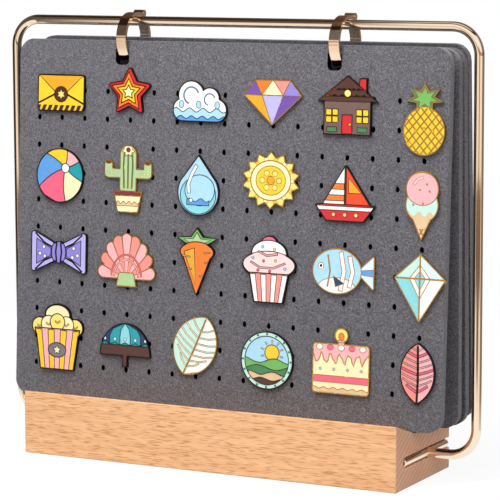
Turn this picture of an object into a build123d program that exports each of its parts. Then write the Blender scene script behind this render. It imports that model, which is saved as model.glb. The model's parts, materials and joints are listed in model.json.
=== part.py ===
"""Enamel pin display stand: four felt boards on two binder rings, hung from a wire frame on a beech block.

Millimetres. The origin is the centre of the block's underside, +Z is up and -Y is the front.
"""
from build123d import *
from math import cos, degrees, pi, radians, sin, sqrt, tan
import os

os.makedirs("parts", exist_ok=True)

# ---------------------------------------------------------------- driving sizes

# Beech block
block_depth = 72.0
block_height = 36.0
block_edge_radius = 0.8
seat_depth = 7.8            # flat floor behind the front slope, below the lip and open to the rear
seat_slope = 18.0           # degrees, from the front lip down to the floor
seat_blend_radius = 8.0

# Wire frame
rod_diameter = 5.4
frame_width = 288.3         # between the uprights' centres
bar_height = 245.0          # centre of the top bar above the table
frame_y = 6.0               # plane of the frame
bend_radius = 15.0          # at the rod's centre
block_end_gap = 28.15       # from the uprights' centres in to the block's ends

# T-feet and the slots they slide in
foot_diameter = 4.5
foot_end_margin = 14.0      # the feet are this much shorter than the block is deep
foot_lead = 3.0             # the feet's middles are this far ahead of the frame
foot_height = 14.5          # centre above the table
foot_inset = 1.0            # the foot's centre is this far inside the block's end face
foot_chamfer = 0.5
slot_clearance = 0.3        # between the rod's end and the slot, above and below
slot_depth_clearance = 0.3  # between the foot and the slot's bottom
slot_front_gap = 1.0        # between the foot's front end and the slot's end

# Binder rings
ring_inner_radius = 12.5
band_thickness = 1.9
band_width = 6.0
ring_spacing = 132.0        # between the two rings' centres
ring_hang_gap = 0.3         # between the bar and the band that rests on it
knuckle_angle = 62.0        # from the rear, about the ring's centre
seam_angle = 185.0
seam_gap = 0.2
knuckle_radius = 2.1
knuckle_play = 0.15         # between the knuckles along the pin
hinge_pin_diameter = 1.6
hinge_pin_clearance = 0.05
hinge_pin_head_radius = 1.25
hinge_pin_head_height = 0.3
tongue_length = 3.0
tongue_thickness = 0.7

# Boards
board_side_gap = 10.4       # from a board's edge to the upright's centre
board_headroom = 4.0        # the boards are this much shorter than the bar is high above the block
board_thickness = 4.4
board_corner_radius = 9.0
hole_columns = 17
hole_rows = 11
hole_width = 2.1
hole_height = 3.0
side_row_margin = 13.75     # from the board's side edges to the outer columns of holes
top_row_margin = 28.9       # from the board's top edge to the first row of holes
bottom_row_margin = 19.1    # from the last row to the bottom edge
ring_slot_width = 8.6
ring_slot_height = 9.3
ring_slot_margin = 4.3      # from the board's top edge to the slot
ring_slot_top_radius = 0.7
ring_slot_foot_radius = 2.6
front_reach = 11.0          # the front board's front face ahead of the rings' centre, where they pass through
rear_reach = 11.9           # the rear board's rear face behind it
leaf_gap = 0.5              # between neighbouring boards behind the front one
board_lean = (-3.2, 0.6, 1.6, 2.7)      # degrees, positive with the lower edge to the rear
board_shift = (-1.0, 0.1, 0.9, 1.0)     # each board's play sideways on the rings
seat_gap = 0.3              # under a board that stands on the seat
hang_gap = 0.2              # between a slot's top and the ring it hangs on

# Enamel pins
plate_thickness = 1.6
post_diameter = 1.1
post_length = 8.2
post_edge_margin = 3.0      # no post sits nearer a plate's edge than this
clutch_diameter = 9.0
clutch_thickness = 3.4
clutch_flange_diameter = 11.0
clutch_flange_thickness = 0.9
clutch_bore_clearance = 0.03

# ---------------------------------------------------------------- places that follow

block_length = frame_width - 2 * block_end_gap
seat_height = block_height - seat_depth
foot_length = block_depth - foot_end_margin
board_width = frame_width - 2 * board_side_gap
board_height = bar_height - block_height - board_headroom
hole_pitch_x = (board_width - 2 * side_row_margin) / (hole_columns - 1)
hole_pitch_z = (board_height - top_row_margin - bottom_row_margin) / (hole_rows - 1)
ring_outer_radius = ring_inner_radius + band_thickness
ring_y = frame_y
ring_z = bar_height + rod_diameter / 2 + ring_hang_gap - ring_inner_radius
knuckle_reach = ring_outer_radius + 0.8
front_y = -block_depth / 2
rear_y = block_depth / 2
foot_x = block_length / 2 - foot_inset
slot_half_height = rod_diameter / 2 + slot_clearance
slot_depth = foot_inset + foot_diameter / 2 + slot_depth_clearance
foot_y = frame_y - foot_lead
slot_front_y = foot_y - foot_length / 2 - slot_front_gap
slope_end_y = front_y + (block_height - seat_height) / tan(radians(seat_slope))


def save(node, *solids):
    """Write one node's STEP file."""
    shape = solids[0] if len(solids) == 1 else Compound(children=list(solids))
    export_step(shape, f"parts/{node}.step")


def face_of(*points):
    """Flat face inside a closed run of straight edges."""
    return make_face(Polyline(*points, close=True))


def on_x(shape, x, y, z):
    """Stand a shape drawn on XY, with its height along Z, along the X axis at a point."""
    return Pos(x, y, z) * Plane.YZ.location * shape


# ---------------------------------------------------------------- base block

block = Pos(0, 0, block_height / 2) * Box(block_length, block_depth, block_height)
block = fillet(block.edges(), block_edge_radius)
hollow_profile = face_of(
    (front_y, block_height),
    (slope_end_y, seat_height),
    (rear_y + 1, seat_height),
    (rear_y + 1, block_height + 1),
    (front_y, block_height + 1),
)
slope_foot = hollow_profile.vertices().sort_by_distance((slope_end_y, seat_height, 0))[0]
hollow_profile = fillet(slope_foot, seat_blend_radius)
block -= on_x(extrude(hollow_profile, block_length + 2), -block_length / 2 - 1, 0, 0)

slot_flat_y = slot_front_y + slot_half_height
slot_run = rear_y + 1 - slot_flat_y
slot_end = Pos(slot_flat_y, foot_height) * Circle(slot_half_height)
slot_flat = Pos(slot_flat_y + slot_run / 2, foot_height) * Rectangle(slot_run, 2 * slot_half_height)
slot = extrude(slot_end + slot_flat, slot_depth + 1)
block -= on_x(slot, block_length / 2 - slot_depth, 0, 0)
block -= on_x(slot, -block_length / 2 - 1, 0, 0)
save("base_block", block)

# ---------------------------------------------------------------- wire frame and T-feet

upright_x = frame_width / 2
wire_path = FilletPolyline(
    (-foot_x, frame_y, foot_height),
    (-upright_x, frame_y, foot_height),
    (-upright_x, frame_y, bar_height),
    (upright_x, frame_y, bar_height),
    (upright_x, frame_y, foot_height),
    (foot_x, frame_y, foot_height),
    radius=bend_radius,
)
rod_section = Plane(origin=wire_path @ 0, z_dir=wire_path % 0) * Circle(rod_diameter / 2)
wire = sweep(rod_section, path=wire_path)
foot = Rot(90, 0, 0) * Cylinder(foot_diameter / 2, foot_length)
foot = chamfer(foot.edges().filter_by(GeomType.CIRCLE), foot_chamfer)
feet = [Pos(side * foot_x, foot_y, foot_height) * foot for side in (-1, 1)]
for one_foot in feet:
    wire -= one_foot
save("frame_wire", wire.solids().sort_by(SortBy.VOLUME)[-1])
save("t_foot_left", feet[0])
save("t_foot_right", feet[1])

# ---------------------------------------------------------------- binder rings


def band(start_angle, end_angle, inner=ring_inner_radius, outer=ring_outer_radius):
    """Piece of the ring's band between two angles, centred on the ring, along X."""
    arcs = [CenterArc((0, 0), radius, start_angle, end_angle - start_angle) for radius in (inner, outer)]
    ends = [Line(arcs[0] @ t, arcs[1] @ t) for t in (0, 1)]
    section = make_face([arcs[0], ends[1], arcs[1], ends[0]])
    return extrude(section, band_width / 2, both=True)


knuckle_y = knuckle_reach * cos(radians(knuckle_angle))
knuckle_z = knuckle_reach * sin(radians(knuckle_angle))
centre_knuckle_width = band_width / 3
side_knuckle_width = (band_width - centre_knuckle_width) / 2 - knuckle_play


def knuckle(radius, width, x):
    """Cylinder along the hinge line, in the ring's own axes."""
    return Pos(knuckle_y, knuckle_z, x) * Cylinder(radius, width)


side_knuckles = [
    knuckle(knuckle_radius, side_knuckle_width, side * (band_width - side_knuckle_width) / 2)
    for side in (-1, 1)
]
centre_knuckle = knuckle(knuckle_radius, centre_knuckle_width, 0)
side_room = [
    knuckle(knuckle_radius + knuckle_play, side_knuckle_width + knuckle_play + 1,
            side * (centre_knuckle_width / 2 + (side_knuckle_width + knuckle_play + 1) / 2))
    for side in (-1, 1)
]
centre_room = knuckle(knuckle_radius + knuckle_play, centre_knuckle_width + 2 * knuckle_play, 0)
split = degrees(knuckle_play / ring_inner_radius)
seam_half = degrees(seam_gap / 2 / ring_inner_radius)
tongue_sweep = degrees(tongue_length / ring_inner_radius)
tongue_play = seam_gap / 2

ring_body = band(seam_angle + seam_half, 360 + knuckle_angle - split) - centre_room
tongue_radius = ring_inner_radius + tongue_thickness
ring_body += band(seam_angle - tongue_sweep, seam_angle + 2 * seam_half, outer=tongue_radius)
for side_knuckle in side_knuckles:
    ring_body += side_knuckle
ring_body -= knuckle(hinge_pin_diameter / 2, band_width + 1, 0)

gate = band(knuckle_angle + split, seam_angle - seam_half)
for room in side_room:
    gate -= room
pocket_outer = ring_inner_radius + tongue_thickness + tongue_play
gate -= band(seam_angle - tongue_sweep - seam_half, seam_angle + 1, outer=pocket_outer)
gate += centre_knuckle
gate -= knuckle(hinge_pin_diameter / 2 + hinge_pin_clearance, band_width + 1, 0)

hinge_pin = knuckle(hinge_pin_diameter / 2, band_width, 0)
for side in (-1, 1):
    head_x = side * (band_width + hinge_pin_head_height) / 2
    hinge_pin += knuckle(hinge_pin_head_radius, hinge_pin_head_height, head_x)

for name, side in (("left", -1), ("right", 1)):
    x = side * ring_spacing / 2
    save(f"ring_{name}_body", on_x(ring_body, x, ring_y, ring_z))
    save(f"ring_{name}_gate", on_x(gate, x, ring_y, ring_z))
    save(f"ring_{name}_hinge_pin", on_x(hinge_pin, x, ring_y, ring_z))

# ---------------------------------------------------------------- boards

# A board is drawn with its front face on the XZ plane and its top edge's middle at the origin.
grid_middle_z = -top_row_margin - hole_pitch_z * (hole_rows - 1) / 2
board_face = Pos(0, -board_height / 2) * RectangleRounded(board_width, board_height, board_corner_radius)
peg_holes = GridLocations(hole_pitch_x, hole_pitch_z, hole_columns, hole_rows)
peg_hole = Rot(0, 0, 90) * SlotOverall(hole_height, hole_width)
board_face -= [Pos(0, grid_middle_z) * place * peg_hole for place in peg_holes]
ring_slot = Rectangle(ring_slot_width, ring_slot_height)
slot_corners = ring_slot.vertices().sort_by(Axis.Y)
ring_slot = fillet(slot_corners[:2], ring_slot_foot_radius)
ring_slot = fillet(ring_slot.vertices().sort_by(Axis.Y)[-2:], ring_slot_top_radius)
for side in (-1, 1):
    board_face -= Pos(side * ring_spacing / 2, -ring_slot_margin - ring_slot_height / 2) * ring_slot
board = extrude(Plane.XZ * board_face, -board_thickness)

# The rear board hangs on the rings. The others stand on the block's seat and the rings keep them.
slot_middle = ring_slot_margin + ring_slot_height / 2
board_count = len(board_lean)


def board_place(number):
    """Location of one board, counted from the front, where it stands or hangs."""
    lean = radians(board_lean[number - 1])
    steps_from_rear = board_count - number
    face = rear_reach - board_thickness - steps_from_rear * (board_thickness + leaf_gap)
    if number == 1:
        face = -front_reach
    y = ring_y + face - sin(lean) * slot_middle
    corner_y = y + sin(lean) * board_height
    seat_z = seat_height + max(0.0, slope_end_y - corner_y) * tan(radians(seat_slope))
    top = seat_z + seat_gap + cos(lean) * board_height
    if number == board_count:
        bearing_y = y + cos(lean) * board_thickness + sin(lean) * ring_slot_margin - ring_y
        bearing_z = ring_z - sqrt(ring_inner_radius**2 - bearing_y**2) + hang_gap
        top = bearing_z + cos(lean) * ring_slot_margin - sin(lean) * board_thickness
    return Pos(board_shift[number - 1], y, top) * Rot(degrees(lean), 0, 0)


places = [board_place(number) for number in range(1, board_count + 1)]
for number, place in enumerate(places, start=1):
    save(f"board_{number}", place * board)

# ---------------------------------------------------------------- enamel pins

# Every outline is drawn on XY about its own middle, to the width and height it is given.


def ellipse(width, height, x=0, y=0):
    """Ellipse of a width and height about a point."""
    if abs(width - height) < 0.01:
        return Pos(x, y) * Circle(width / 2)
    if width > height:
        return Pos(x, y) * Ellipse(width / 2, height / 2)
    return Pos(x, y) * Rot(0, 0, 90) * Ellipse(height / 2, width / 2)


def rays(width, height, count, depth):
    """Star with this many points, its hollows this share of the way out."""
    points = []
    for k in range(2 * count):
        reach = 1.0 if k % 2 == 0 else depth
        angle = pi / 2 + k * pi / count
        points.append((cos(angle) * reach * width / 2, sin(angle) * reach * height / 2))
    return face_of(*points)


def softened(face, radius):
    """The face with its sharp corners rounded."""
    return fillet(face.vertices(), radius)


def envelope(w, h):
    return RectangleRounded(w, h, 2.2)


def star(w, h):
    return softened(rays(w, h * 1.06, 5, 0.52), 1.4)


def cloud(w, h):
    base = Pos(0, -h * 0.22) * RectangleRounded(w, h * 0.52, h * 0.25)
    left_puff = ellipse(h * 0.66, h * 0.66, -w * 0.16, h * 0.1)
    return base + left_puff + ellipse(h * 0.5, h * 0.5, w * 0.18, h * 0.04)


def gem(w, h):
    crown = ((-w / 2, h * 0.16), (-w * 0.3, h / 2), (w * 0.3, h / 2), (w / 2, h * 0.16))
    return softened(face_of(*crown, (0, -h / 2)), 0.9)


def house(w, h):
    walls = Pos(0, -h * 0.18) * Rectangle(w * 0.78, h * 0.64)
    roof = face_of((-w / 2, h * 0.06), (0, h / 2), (w / 2, h * 0.06))
    chimney = Pos(w * 0.25, h * 0.32) * Rectangle(w * 0.13, h * 0.28)
    return walls + roof + chimney


def pineapple(w, h):
    crown = Pos(0, h * 0.3) * rays(w * 0.9, h * 0.4, 7, 0.55)
    return ellipse(w, h * 0.68, 0, -h * 0.16) + crown


def ball(w, h):
    return ellipse(w, h)


def badge(w, h):
    return ellipse(w, h)


def cactus(w, h):
    pot = face_of((-w * 0.3, -h * 0.18), (w * 0.3, -h * 0.18), (w * 0.22, -h / 2), (-w * 0.22, -h / 2))
    stem = Pos(0, h * 0.12) * RectangleRounded(w * 0.36, h * 0.76, w * 0.17)
    arms = Pos(0, h * 0.08) * RectangleRounded(w, h * 0.15, h * 0.07)
    tip = Pos(0, h * 0.14) * RectangleRounded(h * 0.15, h * 0.27, h * 0.07)
    tips = [Pos(side * (w / 2 - h * 0.075)) * tip for side in (-1, 1)]
    return pot + stem + arms + tips


def drop(w, h):
    low = -h / 2 + w / 2
    touch = w / 2 * 0.82
    return ellipse(w, w, 0, low) + face_of((-touch, low + w * 0.28), (0, h / 2), (touch, low + w * 0.28))


def sun(w, h):
    return softened(rays(w, h, 14, 0.8), 0.5)


def boat(w, h):
    hull = face_of((-w / 2, -h * 0.2), (w / 2, -h * 0.2), (w * 0.3, -h / 2), (-w * 0.3, -h / 2))
    sails = face_of((-w * 0.38, -h * 0.22), (w * 0.42, -h * 0.22), (0, h / 2))
    return softened(hull + sails, 0.7)


def cone(w, h):
    scoops = ellipse(w, w, 0, h / 2 - w / 2) + ellipse(w, w, 0, h / 2 - w * 0.95)
    return scoops + face_of((-w * 0.45, h / 2 - w), (w * 0.45, h / 2 - w), (0, -h / 2))


def bow(w, h):
    left = face_of((0, h * 0.16), (-w / 2, h / 2), (-w / 2, -h / 2), (0, -h * 0.16))
    right = face_of((0, h * 0.16), (w / 2, h / 2), (w / 2, -h / 2), (0, -h * 0.16))
    return softened(left + right, 2.0) + ellipse(w * 0.24, h * 0.5)


def shell(w, h):
    scallop = ellipse(w * 0.2, w * 0.2)
    turns = [radians(a) for a in range(10, 171, 20)]
    rim = [Pos(w * 0.4 * cos(turn), h * (0.72 * sin(turn) - 0.36)) * scallop for turn in turns]
    fan = ellipse(w * 0.84, h * 1.44, 0, -h * 0.36) & (Pos(0, h * 0.14) * Rectangle(w, h))
    hinge = face_of((-w * 0.18, -h / 2), (w * 0.18, -h / 2), (w * 0.12, -h * 0.2), (-w * 0.12, -h * 0.2))
    return fan + rim + hinge


def carrot(w, h):
    root = face_of((-w * 0.4, h * 0.18), (w * 0.4, h * 0.18), (0, -h / 2))
    leaves = Pos(0, h * 0.28) * rays(w, h * 0.44, 5, 0.5)
    return ellipse(w * 0.8, h * 0.3, 0, h * 0.14) + root + leaves


def cupcake(w, h):
    cup = face_of((-w * 0.38, 0), (w * 0.38, 0), (w * 0.28, -h / 2), (-w * 0.28, -h / 2))
    swirl = ellipse(w, h * 0.42, 0, h * 0.06) + ellipse(w * 0.66, h * 0.4, 0, h * 0.24)
    return cup + swirl + ellipse(w * 0.3, h * 0.22, 0, h * 0.39)


def fish(w, h):
    tail = face_of((w * 0.2, 0), (w / 2, h * 0.4), (w / 2, -h * 0.4))
    return ellipse(w * 0.8, h, -w * 0.1, 0) + softened(tail, 0.8)


def kite(w, h):
    return softened(face_of((0, h / 2), (w / 2, h * 0.14), (0, -h / 2), (-w / 2, h * 0.14)), 0.9)


def popcorn(w, h):
    box = face_of((-w * 0.42, h * 0.12), (w * 0.42, h * 0.12), (w * 0.32, -h / 2), (-w * 0.32, -h / 2))
    puffs = [ellipse(w * 0.3, w * 0.3, w * 0.17 * k, h * (0.22 - 0.035 * abs(k))) for k in range(-2, 3)]
    return box + puffs + ellipse(w * 0.5, h * 0.34, 0, h * 0.33)


def umbrella(w, h):
    dome = ellipse(w, h * 1.5, 0, -h * 0.25) & (Pos(0, h * 0.25) * Rectangle(w, h))
    handle = Pos(0, -h * 0.36) * Rectangle(w * 0.1, h * 0.28)
    return dome + handle


def leaf(w, h):
    reach = (w**2 + h**2) / (4 * w)
    blade = ellipse(2 * reach, 2 * reach, reach - w / 2, 0) & ellipse(2 * reach, 2 * reach, w / 2 - reach, 0)
    return Rot(0, 0, -24) * blade


def cake(w, h):
    body = Pos(0, -h * 0.12) * RectangleRounded(w, h * 0.76, 2.0)
    cherry = ellipse(w * 0.24, w * 0.24, 0, h / 2 - w * 0.12)
    return body + cherry + Pos(0, h * 0.26) * Rectangle(w * 0.12, h * 0.1)


def feather(w, h):
    reach = (w**2 + h**2) / (4 * w)
    blade = ellipse(2 * reach, 2 * reach, reach - w / 2, 0) & ellipse(2 * reach, 2 * reach, w / 2 - reach, 0)
    return blade + Pos(0, -h * 0.42) * Rectangle(w * 0.12, h * 0.16)


# Each row holds six pins, three columns of holes apart: outline, width, height and row of holes.
first_pin_column = 1
pin_column_step = 3
pin_rows = (
    ((envelope, 31, 21, 0.1), (star, 31, 29, 0.0), (cloud, 34, 25, 0.2),
     (gem, 36, 25, 0.2), (house, 36, 32, 0.2), (pineapple, 24, 38, 0.6)),
    ((ball, 31, 31, 3.1), (cactus, 31, 38, 3.1), (drop, 26, 34, 3.2),
     (sun, 36, 32, 2.9), (boat, 37, 31, 3.2), (cone, 19, 37, 3.5)),
    ((bow, 37, 26, 5.9), (shell, 38, 31, 6.0), (carrot, 27, 38, 5.9),
     (cupcake, 33, 37, 6.0), (fish, 37, 25, 5.9), (kite, 30, 37, 6.3)),
    ((popcorn, 35, 38, 9.0), (umbrella, 33, 25, 9.1), (leaf, 27, 36, 8.9),
     (badge, 32, 32, 9.2), (cake, 34, 36, 9.0), (feather, 20, 33, 9.2)),
)


def hole_at(column, row):
    """Middle of a peg hole on the board's face."""
    return (column - (hole_columns - 1) / 2) * hole_pitch_x, -top_row_margin - row * hole_pitch_z


def upright(shape, x, z):
    """Stand a shape drawn on XY, with its height along Z, on the board's front face, facing forward."""
    return Pos(x, 0, z) * Rot(90, 0, 0) * shape


down_from_face = (Align.CENTER, Align.CENTER, Align.MAX)
clutch_profile = Cylinder(clutch_diameter / 2, clutch_thickness, align=down_from_face)
clutch_profile += Cylinder(clutch_flange_diameter / 2, clutch_flange_thickness, align=down_from_face)
clutch_profile -= Cylinder(post_diameter / 2 + clutch_bore_clearance, 4 * clutch_thickness)
front_board = places[0]
clutches = []
for row_number, row_pins in enumerate(pin_rows):
    for place_number, (outline, width, height, row) in enumerate(row_pins):
        column = first_pin_column + pin_column_step * place_number
        x, z = hole_at(column, row)
        pin = upright(extrude(outline(width, height), plate_thickness), x, z)
        for hole_row in range(hole_rows):
            hole_z = hole_at(column, hole_row)[1]
            if abs(hole_z - z) > height / 2 - post_edge_margin:
                continue
            post = Cylinder(post_diameter / 2, post_length, align=down_from_face)
            pin += upright(post, x, hole_z)
            clutches.append(front_board * Pos(0, board_thickness, 0) * upright(clutch_profile, x, hole_z))
        number = row_number * len(row_pins) + place_number + 1
        save(f"pin_{number:02d}_{outline.__name__}", front_board * pin)
save("post_clutches", *clutches)
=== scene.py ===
"""Enamel pin display stand: felt peg boards on rings, hung from a plated wire over a beech block.

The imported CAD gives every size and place. This script cuts the felt boards again with soft edges,
lays enamel in the pins' metal cells, and gives each piece its finish. Lengths are in metres, or in
millimetres where a name or comment says so.
"""

import json
import logging
import math
from collections.abc import Callable, Iterable, Sequence
from dataclasses import dataclass, field
from enum import Enum

import bmesh
import bpy
from mathutils import Matrix, Vector
from mathutils.geometry import delaunay_2d_cdt

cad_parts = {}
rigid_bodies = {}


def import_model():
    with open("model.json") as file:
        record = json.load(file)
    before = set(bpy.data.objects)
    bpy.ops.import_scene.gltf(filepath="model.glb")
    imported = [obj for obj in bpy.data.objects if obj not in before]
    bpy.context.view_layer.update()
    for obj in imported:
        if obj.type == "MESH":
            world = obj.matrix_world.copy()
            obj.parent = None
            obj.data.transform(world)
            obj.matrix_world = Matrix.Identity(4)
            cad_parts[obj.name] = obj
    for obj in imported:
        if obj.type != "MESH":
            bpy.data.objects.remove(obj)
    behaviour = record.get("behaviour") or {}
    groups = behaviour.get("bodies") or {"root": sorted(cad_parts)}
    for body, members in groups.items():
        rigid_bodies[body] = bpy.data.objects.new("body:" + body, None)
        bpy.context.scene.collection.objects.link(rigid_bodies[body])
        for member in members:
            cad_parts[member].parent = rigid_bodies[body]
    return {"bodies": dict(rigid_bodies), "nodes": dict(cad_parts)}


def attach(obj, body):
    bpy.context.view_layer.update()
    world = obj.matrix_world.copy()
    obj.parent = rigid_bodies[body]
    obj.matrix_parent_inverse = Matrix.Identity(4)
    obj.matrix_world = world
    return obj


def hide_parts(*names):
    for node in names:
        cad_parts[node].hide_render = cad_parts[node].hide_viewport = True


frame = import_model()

log = logging.getLogger("pin_stand")
MM = 0.001
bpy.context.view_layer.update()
# A face faces an axis where its normal's share along it is at least this.
FACING = 0.9
Outline = list[tuple[float, float]]
Triangles = list[tuple[int, int, int]]


# ------------------------------------------------------------------ colours and nodes


def linear(hex_colour: str) -> tuple[float, float, float, float]:
    """Turn an sRGB hex colour into linear RGBA.

    Args:
        hex_colour: Six hex digits after a hash.

    Returns:
        The linear red, green and blue, and full alpha.
    """
    shares = [int(hex_colour[i : i + 2], 16) / 255 for i in (1, 3, 5)]
    rgb = [s / 12.92 if s <= 0.04045 else ((s + 0.055) / 1.055) ** 2.4 for s in shares]
    return rgb[0], rgb[1], rgb[2], 1.0


def add_node(
    tree: bpy.types.NodeTree, kind: str, inputs: dict | None = None, **settings: object
) -> bpy.types.Node:
    """Add a node with its settings, values and links.

    Args:
        tree: The tree it goes in.
        kind: The node's type name.
        inputs: Value, or output socket to link from, for each input's name or index.
        settings: The node's own properties.

    Returns:
        The new node.
    """
    node = tree.nodes.new(kind)
    for name, value in settings.items():
        setattr(node, name, value)
    for key, value in (inputs or {}).items():
        for one in value if isinstance(value, list) else [value]:
            if isinstance(one, bpy.types.NodeSocket):
                tree.links.new(one, node.inputs[key])
            else:
                node.inputs[key].default_value = one
    return node


def set_ramp(node: bpy.types.Node, stops: Sequence[tuple[float, str]]) -> bpy.types.Node:
    """Give a colour ramp its stops.

    Args:
        node: The ramp.
        stops: Each stop's place and hex colour.

    Returns:
        The same node.
    """
    elements = node.color_ramp.elements
    while len(elements) < len(stops):
        elements.new(0.5)
    for element, (place, colour) in zip(elements, stops):
        element.position = place
        element.color = linear(colour)
    return node


def new_surface(name: str) -> tuple[
    bpy.types.Material, bpy.types.NodeTree, bpy.types.Node, bpy.types.NodeSocket
]:
    """Start a material.

    Args:
        name: The material's name.

    Returns:
        The material, its tree, its Principled shader, and Object coordinates in metres.
    """
    material = bpy.data.materials.new(name)
    material.use_nodes = True
    tree = material.node_tree
    shader = tree.nodes["Principled BSDF"]
    place = add_node(tree, "ShaderNodeTexCoord").outputs["Object"]
    return material, tree, shader, place


# ------------------------------------------------------------------ finishes


@dataclass(frozen=True)
class PlatedSteel:
    """Polished steel with a thin light gold plate: a soft mirror, with faint polishing waves."""

    name: str
    colour: str
    roughness: float = 0.1
    wave_mm: float = 14.0
    # Roughness where the polish is best and worst, as shares of its own.
    polish: tuple[float, float] = (0.7, 1.4)

    def material(self) -> bpy.types.Material:
        """Build the finish.

        Returns:
            The material.
        """
        material, tree, shader, place = new_surface(self.name)
        shader.inputs["Base Color"].default_value = linear(self.colour)
        shader.inputs["Metallic"].default_value = 1.0
        cloud = add_node(
            tree, "ShaderNodeTexNoise",
            {"Vector": place, "Scale": 1 / (self.wave_mm * MM), "Detail": 3.0},
        )
        best, worst = (self.roughness * share for share in self.polish)
        rough = add_node(
            tree, "ShaderNodeMapRange",
            {"Value": cloud.outputs["Fac"], "To Min": best, "To Max": worst},
        )
        tree.links.new(rough.outputs["Result"], shader.inputs["Roughness"])
        return material


@dataclass(frozen=True)
class PressedFelt:
    """Needle-punched polyester felt: matt and mottled, with short pale fibres on a grey ground."""

    name: str = "pressed_polyester_felt"
    ground: str = "#5B595E"
    deep: str = "#4C4A4F"
    pale: str = "#757378"
    mottle_mm: float = 1.5
    # Real fibres are about 0.03 mm thick, too fine to show, so these two are drawn coarser.
    fibre_mm: float = 1.1
    grain_mm: float = 0.6
    nap_mm: float = 0.25
    roughness: float = 0.95
    specular: float = 0.2
    sheen: float = 0.25
    sheen_roughness: float = 0.6

    def material(self) -> bpy.types.Material:
        """Build the finish.

        Returns:
            The material.
        """
        material, tree, shader, place = new_surface(self.name)
        mottle = add_node(
            tree, "ShaderNodeTexNoise",
            {"Vector": place, "Scale": 1 / (self.mottle_mm * MM), "Detail": 6.0, "Roughness": 0.7},
        )
        ground = set_ramp(
            add_node(tree, "ShaderNodeValToRGB", {"Fac": mottle.outputs["Fac"]}),
            ((0.28, self.deep), (0.5, self.ground), (0.76, self.pale)),
        )
        grain = add_node(
            tree, "ShaderNodeTexNoise",
            {
                "Vector": place, "Scale": 1 / (self.grain_mm * MM), "Detail": 4.0,
                "Roughness": 0.65, "Distortion": 1.2,
            },
        )
        fleck = add_node(
            tree, "ShaderNodeMapRange",
            {"Value": grain.outputs["Fac"], "From Min": 0.38, "From Max": 0.64},
        )
        speckled = add_node(
            tree, "ShaderNodeMix",
            {"Factor": 0.85, "A": ground.outputs["Color"], "B": fleck.outputs["Result"]},
            data_type="RGBA", blend_type="SOFT_LIGHT",
        )
        fibre = add_node(
            tree, "ShaderNodeTexVoronoi",
            {"Vector": place, "Scale": 1 / (self.fibre_mm * MM), "Randomness": 1.0},
            feature="DISTANCE_TO_EDGE",
        )
        thread = add_node(
            tree, "ShaderNodeMapRange",
            {
                "Value": fibre.outputs["Distance"], "From Min": 0.0, "From Max": 0.06,
                "To Min": 0.22, "To Max": 0.0,
            },
        )
        fibred = add_node(
            tree, "ShaderNodeMix",
            {
                "Factor": thread.outputs["Result"], "A": speckled.outputs["Result"],
                "B": linear(self.pale),
            },
            data_type="RGBA",
        )
        tree.links.new(fibred.outputs["Result"], shader.inputs["Base Color"])
        height = add_node(
            tree, "ShaderNodeMath", {0: grain.outputs["Fac"], 1: thread.outputs["Result"]},
            operation="ADD",
        )
        bump = add_node(
            tree, "ShaderNodeBump",
            {"Height": height.outputs["Value"], "Strength": 0.55, "Distance": self.nap_mm * MM},
        )
        tree.links.new(bump.outputs["Normal"], shader.inputs["Normal"])
        shader.inputs["Roughness"].default_value = self.roughness
        shader.inputs["Specular IOR Level"].default_value = self.specular
        shader.inputs["Sheen Weight"].default_value = self.sheen
        shader.inputs["Sheen Roughness"].default_value = self.sheen_roughness
        return material


@dataclass(frozen=True)
class SearedFeltWithPaintedShade:
    """The wall of a hole cut by laser in felt, ridged by the beam: a darker fused edge, painted
    nearly black to add painted shade in the holes and slots.
    """

    name: str = "laser_seared_felt"
    # Near black: partly the laser's fused edge, and partly painted shade that darkens the holes and
    # slots.
    char_and_shade: str = "#030303"
    singed_and_shade: str = "#0D0C0D"
    # Real ridges are about 0.05 mm apart, too fine to show, so they are drawn coarser.
    ridge_mm: float = 0.35
    depth_mm: float = 0.1
    roughness: float = 0.95
    specular: float = 0.05

    def material(self) -> bpy.types.Material:
        """Build the finish.

        Returns:
            The material.
        """
        material, tree, shader, place = new_surface(self.name)
        ridges = add_node(
            tree, "ShaderNodeTexNoise",
            {"Vector": place, "Scale": 1 / (self.ridge_mm * MM), "Detail": 3.0},
        )
        # Ramp between the two near-black colours: laser burn with painted shade.
        burnt_and_shaded = set_ramp(
            add_node(tree, "ShaderNodeValToRGB", {"Fac": ridges.outputs["Fac"]}),
            ((0.4, self.char_and_shade), (0.7, self.singed_and_shade)),
        )
        tree.links.new(burnt_and_shaded.outputs["Color"], shader.inputs["Base Color"])
        bump = add_node(
            tree, "ShaderNodeBump",
            {"Height": ridges.outputs["Fac"], "Strength": 0.4, "Distance": self.depth_mm * MM},
        )
        tree.links.new(bump.outputs["Normal"], shader.inputs["Normal"])
        shader.inputs["Roughness"].default_value = self.roughness
        shader.inputs["Specular IOR Level"].default_value = self.specular
        return material


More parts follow.
